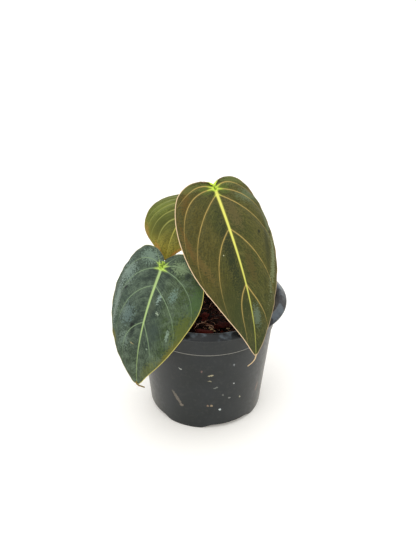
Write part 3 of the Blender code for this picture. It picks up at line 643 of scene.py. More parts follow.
# Velamen, the spongy skin of an aerial root: dry, tan and slightly felted.
velamen, shader = new_surface("root_velamen", 0.8)
place = add_node(velamen, "TexCoord", {}).outputs["Object"]
felt = add_node(velamen, "TexNoise", {"Vector": place, "Scale": 1 / (1.2 * MM), "Detail": 4.0})
tint = add_node(velamen, "MapRange", {0: felt.outputs[0], 1: 0.35, 2: 0.7}).outputs[0]
colour = add_node(velamen, "Mix", {0: tint, 6: linear("8A6A44"), 7: linear("C8AC80")}, data_type="RGBA")
velamen.node_tree.links.new(colour.outputs[2], shader.inputs["Base Color"])
rough = add_node(velamen, "Bump", {"Strength": 0.5, "Distance": 0.15 * MM, "Height": felt.outputs[0]})
velamen.node_tree.links.new(rough.outputs[0], shader.inputs["Normal"])
for number in range(1, 7):
    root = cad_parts[f"root_{number}"]
    root.data.materials.clear()
    root.data.materials.append(velamen)


# ---------------------------------------------------------------- stem and shoot tip
# The short stem, ringed by the scars of old leaves. The next leaf stands on it, still rolled up in its
# papery sheath.

stem_low, stem_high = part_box("stem")
STEM_X = (stem_low.x + stem_high.x) / 2
STEM_Y = (stem_low.y + stem_high.y) / 2
STEM_TOP = stem_high.z
STEM_RADIUS = 4.6 * MM
RINGS_APART = 6.5 * MM

stem_points = []
stem_radii = []
for step in range(93):
    level = stem_low.z + (stem_high.z - stem_low.z) * step / 92
    off_ring = ((level - STEM_TOP) / RINGS_APART) % 1.0
    ring = 0.45 * MM * math.exp(-((min(off_ring, 1 - off_ring) / 0.12) ** 2))
    shoulder = min(1.0, 0.80 + 0.2 * math.sin(min(1.0, (stem_high.z - level) / (1.6 * MM)) * math.pi / 2))
    stem_points.append(Vector((STEM_X, STEM_Y, level)))
    stem_radii.append((STEM_RADIUS - 0.15 * MM + ring) * shoulder)

# Young bark: green and smooth, browning in rings at the leaf scars.
bark, shader = new_surface("stem_young_bark", 0.55)
place = add_node(bark, "TexCoord", {}).outputs["Object"]
upright = add_node(bark, "Mapping", {"Vector": place, "Scale": (1.0, 1.0, 0.25)}).outputs[0]
fibre = add_node(bark, "TexNoise", {"Vector": upright, "Scale": 1 / (0.9 * MM), "Detail": 3.0})
stain = add_node(bark, "TexNoise", {"Vector": place, "Scale": 1 / (5 * MM), "Detail": 3.0})
corky = add_node(bark, "MapRange", {0: stain.outputs[0], 1: 0.42, 2: 0.6}).outputs[0]
colour = add_node(
    bark, "Mix", {0: corky, 6: linear("66703A"), 7: linear("6B5234")}, data_type="RGBA"
).outputs[2]
pale = add_node(bark, "MapRange", {0: fibre.outputs[0], 1: 0.5, 2: 0.8, 4: 0.4}).outputs[0]
colour = add_node(bark, "Mix", {0: pale, 6: colour, 7: linear("A39A62")}, data_type="RGBA").outputs[2]
bark.node_tree.links.new(colour, shader.inputs["Base Color"])
rough = add_node(bark, "Bump", {"Strength": 0.4, "Distance": 0.2 * MM, "Height": fibre.outputs[0]})
bark.node_tree.links.new(rough.outputs[0], shader.inputs["Normal"])
finish("stem_ringed", tube([(stem_points, stem_radii)], resolution=10), bark, ["stem"])

tip_low, tip_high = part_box("shoot_tip")
tip_foot = Vector((STEM_X, STEM_Y, tip_low.z - 0.8 * MM))
tip_top = tip_foot + Vector((-0.12, 0.08, 1.0)) * (tip_high.z - tip_foot.z - 0.4 * MM)
spear_points = []
spear_radii = []
for step in range(49):
    share = step / 48
    spear_points.append(tip_foot.lerp(tip_top, share))
    spear_radii.append(2.7 * MM * (0.92 + 0.12 * math.sin(math.pi * share)) * max(0.06, 1 - share ** 2.6))
spear = tube([(spear_points, spear_radii)], resolution=10)
for corner in spear.verts:
    share = (corner.co.z - tip_foot.z) / (tip_top.z - tip_foot.z)
    middle = tip_foot.lerp(tip_top, share)
    off = (corner.co - middle).xy
    seam = math.cos(math.atan2(off.y, off.x) - 2.0 - 2.2 * share)
    corner.co.xy = middle.xy + off * (1 - 0.16 * smooth(seam, 0.86, 1.0))

# A rolled leaf in its sheath: parchment brown, thin and ribbed along its length.
sheath, shader = new_surface("shoot_sheath_parchment", 0.5)
place = add_node(sheath, "TexCoord", {}).outputs["Object"]
upright = add_node(sheath, "Mapping", {"Vector": place, "Scale": (1.0, 1.0, 0.12)}).outputs[0]
ribs = add_node(sheath, "TexNoise", {"Vector": upright, "Scale": 1 / (0.6 * MM), "Detail": 3.0})
tint = add_node(sheath, "MapRange", {0: ribs.outputs[0], 1: 0.3, 2: 0.7}).outputs[0]
colour = add_node(sheath, "Mix", {0: tint, 6: linear("7A5638"), 7: linear("B3946A")}, data_type="RGBA")
sheath.node_tree.links.new(colour.outputs[2], shader.inputs["Base Color"])
rough = add_node(sheath, "Bump", {"Strength": 0.5, "Distance": 0.15 * MM, "Height": ribs.outputs[0]})
sheath.node_tree.links.new(rough.outputs[0], shader.inputs["Normal"])
finish("shoot_spear", spear, sheath, ["shoot_tip"])


# ---------------------------------------------------------------- front leaf
# The largest blade hangs tip down over the rim. Its side veins leave the sinus in a fan, and then the midrib
# in pairs, and arch forward along the margin. The blade is quilted between them.

LEAF_THICKNESS = 0.4 * MM
LEAF_COLUMNS = 54
LEAF_ROW_SPACING = 0.85 * MM
MARGIN_STEPS = 1200
VEIN_STEPS = 120
THREAD_STEPS = 24
# In millimetres: how high the blade swells between the veins, how deep the veins lie, how high it stands over
# its petiole, and how far it is uneven.
QUILT_RISE = 0.62
VEIN_DEPTH = 0.40
BOSS_RISE = 0.75
UNEVENNESS = 0.16


def smooth_line(points, count):
    """Points at even distances along a centripetal Catmull-Rom curve through the given points."""
    known = np.array(points, float)
    known = np.vstack([2 * known[0] - known[1], known, 2 * known[-1] - known[-2]])
    line = []
    for a, b, c, d in zip(known, known[1:], known[2:], known[3:]):
        gaps = [np.linalg.norm(q - p) ** 0.5 for p, q in ((a, b), (b, c), (c, d))]
        k0, k1, k2, k3 = np.cumsum([0.0, *gaps])
        for t in np.linspace(k1, k2, 12, endpoint=False):
            def mix(p, q, start, end):
                return (p * (end - t) + q * (t - start)) / (end - start)
            ab, bc, cd = mix(a, b, k0, k1), mix(b, c, k1, k2), mix(c, d, k2, k3)
            line.append(mix(mix(ab, bc, k0, k2), mix(bc, cd, k1, k3), k1, k2))
    line = np.array([*line, known[-2]])
    travelled = np.concatenate([[0.0], np.cumsum(np.linalg.norm(np.diff(line, axis=0), axis=1))])
    at = np.linspace(0.0, travelled[-1], count)
    return np.stack([np.interp(at, travelled, line[:, i]) for i in range(2)], axis=1)


class Blade:
    """A blade's curved surface: a midrib that droops, turns and rolls, and halves that curve down.

    Lengths are in millimetres and angles in degrees. half_width and cup give the right half first, as seen
    from the sinus towards the tip. The outline runs from the sinus to the tip, in shares of the length and
    of the half width; notch is how far behind the sinus it starts, as a share too. Each vein gives its start
    along the midrib, then for each half its end along the margin and two points that it passes a third and
    two thirds of the way.
    """

    def __init__(
        self, sinus, length, half_width, heading, sweep, droop, roll, fold, cup, outline, veins, notch
    ):
        self.sinus = np.array(sinus)
        self.length = length * MM
        self.half_width = [width * MM for width in half_width]
        self.fold = math.radians(fold)
        self.cup = [radius * MM for radius in cup]
        self.outline = outline
        self.veins = veins
        self.notch = notch
        self.along = np.linspace(-0.35 * self.length, self.length, 136)
        share = np.clip(self.along / self.length, 0.0, 1.0)
        behind = np.clip(self.along / self.length, -1.0, 0.0)
        falling = np.radians(droop[0] + (droop[1] - droop[0]) * share ** 1.3 + 10.0 * behind)
        facing = np.radians(heading + sweep * share ** 1.5)
        rolled = np.radians(roll[0] + (roll[1] - roll[0]) * share)[:, None]
        ahead = np.stack([np.cos(facing), np.sin(facing), np.zeros(len(facing))], 1)
        upright = np.array([0.0, 0.0, 1.0])
        onward = ahead * np.cos(falling)[:, None] - upright * np.sin(falling)[:, None]
        level_up = ahead * np.sin(falling)[:, None] + upright * np.cos(falling)[:, None]
        level_right = np.cross(onward, level_up)
        self.right = np.cos(rolled) * level_right + np.sin(rolled) * level_up
        self.up = np.cos(rolled) * level_up - np.sin(rolled) * level_right
        steps = (onward[1:] + onward[:-1]) / 2 * (self.along[1] - self.along[0])
        travelled = np.vstack([np.zeros(3), np.cumsum(steps, axis=0)])
        self.midrib = travelled - self.at(travelled, 0.0) + self.sinus

    def at(self, values, along):
        """The values kept along the midrib, at distances from the sinus."""
        return np.stack([np.interp(along, self.along, values[:, i]) for i in range(3)], axis=-1)

    def place(self, along, across):
        """Points on the upper surface, across the midrib to the right, or to the left if negative."""
        radius = np.where(across > 0, *self.cup)
        turned_by = self.fold - np.abs(across) / radius
        out = radius * (math.sin(self.fold) - np.sin(turned_by)) * np.sign(across)
        rise = radius * (np.cos(turned_by) - math.cos(self.fold))
        sideways = self.at(self.right, along) * np.expand_dims(out, -1)
        return self.at(self.midrib, along) + sideways + self.at(self.up, along) * np.expand_dims(rise, -1)

    def margin(self, half, count):
        """The margin of one half as complex numbers: along the midrib, and the distance from it."""
        points = [(-self.notch, 0.0), *self.outline, (1.0, 0.0)]
        flat = smooth_line([(a * self.length, b * self.half_width[half]) for a, b in points], count)
        return flat[:, 0] + 1j * flat[:, 1]

    def bent(self, start, end, first, second, share):
        """Points on a curve that passes first and second a third and two thirds of the way."""
        return (
            -4.5 * (share - 1 / 3) * (share - 2 / 3) * (share - 1) * start
            + 13.5 * share * (share - 2 / 3) * (share - 1) * first
            - 13.5 * share * (share - 1 / 3) * (share - 1) * second
            + 4.5 * share * (share - 1 / 3) * (share - 2 / 3) * end
        )


def leaf_grid(blade, columns):
    """The flat layout of a blade: rows that follow the side veins, from the midrib to each margin.

    It gives, for each half, the points as complex numbers, how far each is from a vein as a share of that
    vein's half width, the vein's own fading, and the distance from the margin.
    """
    edges = [blade.margin(half, MARGIN_STEPS + 1) for half in (0, 1)]
    reach = np.abs(np.diff(edges[0])).sum()
    ends = [0.0, *[vein[1][0] for vein in blade.veins], 1.0]
    rows = [0.0]
    for number, (start, end) in enumerate(zip(ends, ends[1:])):
        count = max(12, round((end - start) * reach / LEAF_ROW_SPACING))
        step = np.arange(1, count + 1) / count
        rows.extend(number + step - 0.62 * np.sin(2 * math.pi * step) / (2 * math.pi))
    rows = np.array(rows)
    step = np.arange(columns + 1) / columns
    share = (step - 0.72 * np.sin(2 * math.pi * step) / (2 * math.pi))[None, :]
    keys = np.arange(len(blade.veins) + 2)
    starts = np.interp(rows, keys, [0.0, *[vein[0] for vein in blade.veins], 1.0]) * blade.length
    halves = []
    for half in (0, 1):
        chords = []
        lines = []
        size = (blade.length, blade.half_width[half])
        for vein in blade.veins:
            end_share, first, second = vein[1 + half]
            start = vein[0] * blade.length
            end = edges[half][round(end_share * MARGIN_STEPS)]
            first = complex(first[0] * size[0], first[1] * size[1])
            second = complex(second[0] * size[0], second[1] * size[1])
            chords.append(((first - start) / (end - start), (second - start) / (end - start)))
            lines.append(blade.bent(start, end, first, second, np.linspace(0, 1, VEIN_STEPS + 1)))
        chords = np.array([chords[0], *chords, chords[-1]])
        ends = np.interp(rows, keys, [0.0, *[vein[1 + half][0] for vein in blade.veins], 1.0])
        edge_at = np.linspace(0, 1, MARGIN_STEPS + 1)
        stops = np.interp(ends, edge_at, edges[half].real) + 1j * np.interp(ends, edge_at, edges[half].imag)
        shapes = [np.interp(rows, keys, chords[:, i].real) + 1j * np.interp(rows, keys, chords[:, i].imag)
                  for i in (0, 1)]
        span = stops - starts
        flat = blade.bent(
            starts[:, None],
            stops[:, None],
            (starts + shapes[0] * span)[:, None],
            (starts + shapes[1] * span)[:, None],
            share,
        )
        flat = flat.real + 1j * np.maximum(flat.imag, 0.0)
        flat[:, 0] = starts
        flat[:, -1] = stops
        reach_veins = np.full(flat.shape, 99.0)
        vein_mm = np.full(flat.shape, 99.0)
        fading = np.zeros(flat.shape)
        for line in lines:
            far = np.abs(flat[:, :, None] - line[None, None, :])
            nearest = far.argmin(axis=2)
            run = nearest / VEIN_STEPS
            gap = far.min(axis=2) / MM
            width = 0.11 + 0.19 * (1 - run) ** 0.8
            closer = gap / width < reach_veins
            reach_veins = np.where(closer, gap / width, reach_veins)
            fading = np.where(closer, run, fading)
            vein_mm = np.minimum(vein_mm, gap)
        margin_mm = np.abs(flat[:, :, None] - edges[half][None, None, ::3]).min(axis=2) / MM
        margin_mm[:, -1] = 0.0
        strand = np.repeat((ends * reach / MM)[:, None], columns + 1, axis=1)
        halves.append({
            "flat": flat, "vein": reach_veins, "vein_mm": vein_mm, "fading": fading,
            "margin_mm": margin_mm, "strand": strand,
        })
    return rows, halves


def make_leaf(name, blade, surface, node, thread, thread_radius, wave):
    """A leaf: its quilted upper face, its ribbed underside and the thread at its tip.

    wave is how far the margin ripples, in millimetres.
    """
    columns = LEAF_COLUMNS
    rows, halves = leaf_grid(blade, columns)
    shape = bmesh.new()
    bmesh.ops.create_grid(shape, x_segments=len(rows) - 1, y_segments=2 * columns, size=0.5)
    floats = {
        kind: shape.verts.layers.float.new(kind)
        for kind in ("vein", "fading", "rib", "edge", "along", "side", "sinus", "under")
    }
    strands = shape.verts.layers.float_vector.new("strands")
    laid = shape.verts.layers.float_vector.new("laid")
    relief = shape.verts.layers.float.new("relief")
    ribbing = shape.verts.layers.float.new("ribbing")
    spots = {
        half: blade.place(halves[half]["flat"].real, halves[half]["flat"].imag * (1, -1)[half])
        for half in (0, 1)
    }
    for corner in shape.verts:
        row = round((corner.co.x + 0.5) * (len(rows) - 1))
        column = round((corner.co.y + 0.5) * 2 * columns) - columns
        half = 0 if column > 0 else 1
        grid = halves[half]
        sign = 1 if half == 0 else -1
        column = abs(column)
        flat = grid["flat"][row, column]
        from_midrib = flat.imag / MM
        along = flat.real / blade.length
        margin_mm = grid["margin_mm"][row, column]
        vein_mm = grid["vein_mm"][row, column]
        rib_width = 0.26 + 0.80 * max(0.0, 1 - max(0.0, along)) ** 1.6
        corner.co = spots[half][row, column]
        corner[floats["vein"]] = grid["vein"][row, column]
        corner[floats["fading"]] = grid["fading"][row, column]
        corner[floats["rib"]] = from_midrib / rib_width if flat.real >= 0 else 9.0
        corner[floats["edge"]] = margin_mm
        corner[floats["along"]] = along
        corner[floats["side"]] = sign * flat.imag / blade.half_width[half]
        corner[floats["sinus"]] = abs(flat) / MM
        corner[laid] = Vector((flat.real / MM, sign * from_midrib, 0.0))
        strand = grid["strand"][row, column]
        corner[strands] = Vector((strand, flat.real / MM * 0.12, sign * from_midrib * 0.12))
        pillow = 1 - math.exp(-((vein_mm / 2.4) ** 2))
        pillow *= 1 - math.exp(-((from_midrib / 2.6) ** 2))
        pillow *= 0.35 + 0.65 * smooth(margin_mm, 0.0, 5.0)
        beaten = noise.noise(corner.co / (5.0 * MM)) * UNEVENNESS * smooth(from_midrib, 0.0, 4.0)
        ripple = math.sin(strand / 13.0 * 2 * math.pi + 3 * sign)
        ripple += 0.6 * math.sin(strand / 7.7 * 2 * math.pi)
        ripple *= wave * math.exp(-margin_mm / 3.5) * smooth(abs(flat) / MM, 3.0, 18.0)
        boss = BOSS_RISE * math.exp(-((abs(flat) / MM / 2.6) ** 2))
        corner[relief] = (QUILT_RISE * pillow - VEIN_DEPTH + boss + beaten + ripple) * MM
        ribs = 1.0 * math.exp(-((from_midrib / 1.2) ** 2)) * (1 - 0.65 * max(0.0, along))
        ribs += 0.4 * math.exp(-((vein_mm / 0.5) ** 2)) * (1 - grid["fading"][row, column])
        corner[ribbing] = ribs * MM * float(smooth(margin_mm, 0.0, 1.5))
    bmesh.ops.remove_doubles(shape, verts=shape.verts, dist=0.012 * MM)
    bmesh.ops.recalc_face_normals(shape, faces=shape.faces)
    middle = min(shape.verts, key=lambda v: (v.co - Vector(blade.at(blade.midrib, blade.length / 2))).length)
    if middle.normal.dot(Vector(blade.at(blade.up, blade.length / 2))) < 0:
        bmesh.ops.reverse_faces(shape, faces=shape.faces)
    shape.normal_update()
    lifts = [corner.normal * corner[relief] for corner in shape.verts]
    for corner, lift in zip(shape.verts, lifts):
        corner.co += lift
    shape.normal_update()
    down = {corner.co.copy().freeze(): -corner.normal.copy() for corner in shape.verts}
    made = bmesh.ops.extrude_face_region(shape, geom=shape.faces[:], use_keep_orig=True)
    for corner in made["geom"]:
        if isinstance(corner, bmesh.types.BMVert):
            corner.co += down[corner.co.copy().freeze()] * (LEAF_THICKNESS + corner[ribbing])
            corner[floats["under"]] = 1.0
    bmesh.ops.recalc_face_normals(shape, faces=shape.faces)

    # The thread starts inside the tip and follows the given points from there.
    tip = Vector(blade.at(blade.midrib, blade.length)) + Vector(blade.at(blade.up, blade.length)) * -0.3 * MM
    inward = Vector(blade.at(blade.midrib, blade.length - 2 * MM)) - tip
    knots = [tip + inward, tip, *[tip + Vector(step) * MM for step in thread]]
    line = [
        Vector([np.interp(t, range(len(knots)), [knot[i] for knot in knots]) for i in range(3)])
        for t in np.linspace(0, len(knots) - 1, THREAD_STEPS + 1)
    ]
    for _ in range(3):
        line = [line[0], *[(a + 2 * b + c) / 4 for a, b, c in zip(line, line[1:], line[2:])], line[-1]]
    radii = [thread_radius * (1 - 0.44 * i / THREAD_STEPS) for i in range(THREAD_STEPS + 1)]
    string = tube([(line, radii)])
    string_mesh = bpy.data.meshes.new("thread")
    string.to_mesh(string_mesh)
    string.free()
    before = len(shape.verts)
    shape.from_mesh(string_mesh)
    bpy.data.meshes.remove(string_mesh)
    shape.verts.ensure_lookup_table()
    for corner in shape.verts[before:]:
        corner[floats["vein"]] = 9.0
        corner[floats["rib"]] = 9.0
        corner[floats["along"]] = 1.2  # past the tip, where the thread's own colour shows
        corner[floats["sinus"]] = 99.0
    finish(name, shape, surface, [node], sharp=70.0)


def leaf_surface(name, tints, margin_share, vein_glow, sheen_bloom, marks, sheen):
    """A velvety upper face with pale veins, over a paler underside.

    Each mark gives its middle along and across the blade and its half length and half width, all in
    millimetres, its turn in degrees, its colour, its strength and how far its outline is broken up.
    """
    surface, shader = new_surface(name, 0.6, ior=1.45)
    place = add_node(surface, "TexCoord", {}).outputs["Object"]
    strands = add_node(surface, "Attribute", {}, attribute_name="strands").outputs["Vector"]
    laid = add_node(surface, "Attribute", {}, attribute_name="laid").outputs["Vector"]
    seen = {
        kind: add_node(surface, "Attribute", {}, attribute_name=kind).outputs["Fac"]
        for kind in ("vein", "fading", "rib", "edge", "along", "side", "sinus", "under")
    }
    for kind, across in (("cloud", 9.0), ("patch", 3.4), ("speckle", 1.0), ("grain", 0.5)):
        seen[kind] = add_node(
            surface, "TexNoise", {"Vector": place, "Scale": 1 / (across * MM), "Detail": 3.0}
        ).outputs[0]
    seen["streak"] = add_node(
        surface, "TexNoise", {"Vector": strands, "Scale": 1.5, "Detail": 2.0}
    ).outputs[0]
    cells = add_node(surface, "TexVoronoi", {"Vector": place, "Scale": 1 / (0.55 * MM)}).outputs["Distance"]
    from_rib = add_node(surface, "Math", {0: seen["side"]}, operation="ABSOLUTE").outputs[0]
    wander = add_node(surface, "MapRange", {0: seen["cloud"], 1: 0.3, 2: 0.7, 3: -0.12, 4: 0.12}).outputs[0]
    seen["outward"] = add_node(surface, "Math", {0: from_rib, 1: wander}, operation="ADD").outputs[0]

    # Each layer lies over the ones before it: its tint, and where it shows, as a product of ramps.
    ground = [
        ("right", ("side", -0.06, 0.06, 0, 1), ("outward", 0.1, 0.55, 0, 1)),
        ("left", ("side", 0.06, -0.06, 0, 1), ("outward", 0.1, 0.55, 0, 1)),
        ("tip", ("along", 0.5, 1.0, 0, 0.85)),
        # The bloom layers are painted sheen: paler patches where the velvet catches the light.
        ("sheen_bloom", ("patch", 0.42, 0.66, 0, sheen_bloom)),
        ("sheen_bloom", ("cloud", 0.46, 0.64, 0, sheen_bloom)),
        ("dark", ("speckle", 0.42, 0.66, 0, 0.55)),
        ("dark", ("streak", 0.50, 0.32, 0, 0.40)),
        ("pale", ("streak", 0.52, 0.72, 0, 0.30)),
        ("pale", ("grain", 0.54, 0.72, 0, 0.28)),
    ]
    nerves = [
        ("vein", ("vein", 5.0, 0.8, 0, 1), ("fading", 0.1, 1.0, vein_glow, vein_glow / 6)),
        ("vein", ("vein", 1.7, 0.5, 0, 1), ("fading", 0.25, 1.0, 0.95, 0.35)),
        ("heart", ("vein", 1.9, 0.6, 0, 1), ("sinus", 8.0, 2.0, 0, 0.65)),
        ("heart", ("vein", 6.0, 1.0, 0, 1), ("sinus", 7.0, 1.5, 0, 0.45)),
        ("rib", ("rib", 2.0, 0.9, 0, 0.25), ("along", 0.9, 0.2, 0.15, 1)),
        ("rib", ("rib", 1.15, 0.6, 0, 1), ("along", 0.95, 0.3, 0.32, 1)),
        ("heart", ("sinus", 3.0, 1.0, 0, 0.85), ("vein", 9.0, 2.0, 0.6, 1)),
        (
            "margin", ("edge", 0.65, 0.25, 0, 1), ("sinus", 7.0, 24.0, 0, 1),
            ("side", -0.2, 0.2, *margin_share),
        ),
        ("thread", ("along", 1.05, 1.15, 0, 0.9)),
    ]
    under = ("under", 0.35, 0.65, 0, 1)
    below = [
        ("belly", under),
        ("belly_dark", under, ("cloud", 0.3, 0.7, 0, 1)),
        ("belly_vein", under, ("vein", 1.7, 0.5, 0, 1), ("fading", 0.2, 1, 0.9, 0.3)),
        ("belly_vein", under, ("rib", 1.6, 0.8, 0, 1)),
        ("margin", under, ("edge", 0.65, 0.25, 0, 1), ("sinus", 7.0, 24.0, 0, 0.7)),
        ("heart", ("under", 0.15, 0.45, 0, 1), ("sinus", 8.5, 4.0, 0, 0.9)),
    ]
    tints = {"belly": "7A6A4A", "belly_dark": "8C6E56", "belly_vein": "A9A070", **tints}
    for along, across, length, width, turn, tint, strength, broken in marks:
        spot = add_node(
            surface, "Mapping",
            {
                "Vector": laid, "Location": (along, across, 0.0), "Rotation": (0.0, 0.0, math.radians(turn)),
                "Scale": (length, width, 1.0),
            },
            vector_type="TEXTURE",
        ).outputs[0]
        far = add_node(surface, "VectorMath", {0: spot}, operation="LENGTH").outputs["Value"]
        rough = add_node(
            surface, "MapRange", {0: seen["speckle"], 1: 0.3, 2: 0.7, 3: -broken, 4: broken}
        ).outputs[0]
        kind = f"mark {along} {across} {tint}"
        seen[kind] = add_node(surface, "Math", {0: far, 1: rough}, operation="ADD").outputs[0]
        tints[kind] = tint
        ground.append((kind, (kind, 1.15, 0.35, 0, strength)))

    colour = linear(tints["inner"])
    for tint, *ramps in ground + nerves + below:
        shares = [
            add_node(
                surface, "MapRange", {0: seen[kind], 1: start, 2: end, 3: low, 4: high},
                interpolation_type="SMOOTHSTEP",
            ).outputs[0]
            for kind, start, end, low, high in ramps
        ]
        share = shares[0]
        for other in shares[1:]:
            share = add_node(surface, "Math", {0: share, 1: other}, operation="MULTIPLY").outputs[0]
        colour = add_node(
            surface, "Mix", {0: share, 6: colour, 7: linear(tints[tint])}, data_type="RGBA"
        ).outputs[2]
    surface.node_tree.links.new(colour, shader.inputs["Base Color"])

    nap = add_node(surface, "Bump", {"Strength": 0.35, "Distance": 0.12 * MM, "Height": cells}).outputs[0]
    ridges = add_node(
        surface, "Bump", {"Strength": 0.5, "Distance": 0.25 * MM, "Height": seen["streak"], "Normal": nap}
    ).outputs[0]
    surface.node_tree.links.new(ridges, shader.inputs["Normal"])
    shader.inputs["Sheen Weight"].default_value = sheen
    shader.inputs["Sheen Roughness"].default_value = 0.35
    shader.inputs["Sheen Tint"].default_value = linear("DDE4D2")
    shader.inputs["Specular IOR Level"].default_value = 0.3
    return surface


def rim_point(azimuth, offset):
    """A point counted in millimetres from the top of the lip at an azimuth."""
    angle = math.radians(azimuth)
    rim = Vector((LIP_RADIUS * math.cos(angle), LIP_RADIUS * math.sin(angle), POT_HEIGHT))
    return rim + Vector(offset) * MM


front_blade = Blade(
    sinus=rim_point(-60.0, (-25.0, 44.0, 86.5)),
    length=123.0,
    half_width=(34.8, 34.1),
    heading=-62.0,
    sweep=21.0,
    droop=(42.5, 89.0),
    roll=(-5.0, -25.0),
    fold=4.0,
    cup=(110.0, 45.0),
    outline=(
        (-0.045, 0.12), (-0.062, 0.31), (-0.055, 0.52), (0.0, 0.80), (0.17, 1.01),
        (0.42, 0.965), (0.67, 0.615), (0.86, 0.27), (0.98, 0.057),
    ),
    veins=(
        (0.0, (0.25, (-0.03, 0.30), (0.0, 0.60)), (0.25, (-0.03, 0.30), (0.0, 0.60))),
        (0.0, (0.50, (0.055, 0.61), (0.21, 0.895)), (0.42, (0.045, 0.495), (0.14, 0.87))),
        (0.03, (0.66, (0.185, 0.52), (0.38, 0.81)), (0.56, (0.145, 0.49), (0.29, 0.85))),
        (0.24, (0.80, (0.39, 0.39), (0.575, 0.52)), (0.73, (0.37, 0.33), (0.52, 0.53))),
        (0.56, (0.925, (0.665, 0.185), (0.785, 0.20)), (0.87, (0.65, 0.14), (0.745, 0.26))),
    ),
    notch=0.012,
)
# Velvet leaf, mature: cells that bulge and scatter light, olive with a bronze cast on one half.
front_velvet = leaf_surface(
    "leaf_velvet_bronze",
    tints={
        "inner": "3E4210", "right": "4A430C", "left": "4E4C18", "tip": "2A360C", "sheen_bloom": "5C5828",
        "dark": "22280A", "pale": "706A36", "vein": "B49A54", "rib": "DAD866", "heart": "C8E64A",
        "margin": "E6C8A0", "thread": "CDB48C",
    },
    margin_share=(0.42, 1.0), vein_glow=0.12, sheen_bloom=0.22, sheen=0.08,
    marks=(
        (47.0, 5.4, 26.0, 3.6, 3.0, "1E260A", 0.85, 1.1),
        (74.0, 4.0, 22.0, 3.0, 0.0, "262E10", 0.6, 1.0),
        (19.0, -6.5, 15.0, 5.5, -6.0, "625430", 0.5, 0.6),
        (58.0, -6.5, 13.0, 4.0, 0.0, "58481F", 0.45, 0.6),
        # The next three grey-green marks, along the right half, are painted sheen.
        (8.0, -24.0, 6.0, 12.0, 0.0, "5C6A48", 0.7, 0.5),
        (24.0, -33.5, 22.0, 2.6, 10.0, "5E6A48", 0.6, 0.4),
        (58.0, -26.0, 26.0, 2.2, 24.0, "747E58", 0.65, 0.7),
        (47.0, -24.5, 20.0, 2.2, 16.0, "2C300C", 0.7, 0.6),
        (36.4, -20.9, 1.8, 1.3, 20.0, "181E06", 0.95, 0.3),
        (38.0, -32.2, 1.6, 1.0, 20.0, "2A1C06", 0.95, 0.3),
        (45.9, 9.9, 0.5, 0.4, 0.0, "C8C8A0", 0.9, 0.0),
        (3.0, 23.0, 12.0, 3.0, 20.0, "62460E", 0.45, 0.5),
        (45.0, 27.0, 24.0, 3.0, -20.0, "665226", 0.45, 0.6),
        (30.0, 31.0, 16.0, 1.4, -4.0, "62440E", 0.45, 0.5),
        (82.0, 12.0, 20.0, 10.0, -14.0, "2E380F", 0.55, 0.5),
        (92.0, -3.0, 9.0, 3.0, 0.0, "5A6A58", 0.7, 0.5),
        (-1.0, 7.0, 5.0, 6.0, 0.0, "54661E", 0.6, 0.3),
        (1.0, -6.5, 5.0, 5.0, 0.0, "54661E", 0.6, 0.3),
        (-5.0, -15.0, 5.0, 12.0, 0.0, "667038", 0.6, 0.5),
        (4.0, -30.0, 5.0, 5.0, 0.0, "5E4412", 0.6, 0.5),
        (-4.0, 18.0, 4.0, 9.0, 0.0, "646C34", 0.5, 0.5),
    ),
)
make_leaf(
    "leaf_front_velvet", front_blade, front_velvet, "leaf_front",
    thread=((-0.6, -0.2, -2.6), (-2.6, -0.4, -5.6), (-5.4, -0.6, -8.2)), thread_radius=0.5 * MM, wave=0.14,
)


# ---------------------------------------------------------------- left leaf
# The darkest blade hangs out over the rim on the left, with a painted grey sheen where light grazes its
# velvet and a few tide marks of dried water.

left_blade = Blade(
    sinus=rim_point(-114.0, (-7.0, 29.0, 34.7)),
    length=88.5,
    half_width=(37.0, 37.0),
    heading=-120.5,
    sweep=-7.0,
    droop=(47.5, 93.0),
    roll=(-1.0, 8.5),
    fold=6.5,
    cup=(53.0, 110.0),
    outline=(
        (-0.085, 0.045), (-0.142, 0.25), (-0.145, 0.56), (-0.03, 0.87), (0.195, 1.04),
        (0.435, 0.90), (0.685, 0.605), (0.89, 0.245), (0.99, 0.06),
    ),
    veins=(
        (0.0, (0.12, (-0.04, 0.09), (-0.09, 0.18)), (0.12, (-0.04, 0.08), (-0.085, 0.17))),
        (0.0, (0.50, (-0.04, 0.48), (0.09, 0.87)), (0.325, (-0.04, 0.31), (-0.02, 0.63))),
        (0.01, (0.675, (0.11, 0.52), (0.325, 0.785)), (0.55, (0.063, 0.46), (0.19, 0.81))),
        (0.15, (0.78, (0.285, 0.43), (0.495, 0.60)), (0.70, (0.265, 0.37), (0.42, 0.63))),
        (0.45, (0.88, (0.54, 0.25), (0.67, 0.35)), (0.87, (0.58, 0.18), (0.70, 0.28))),
    ),
    notch=0.056,
)
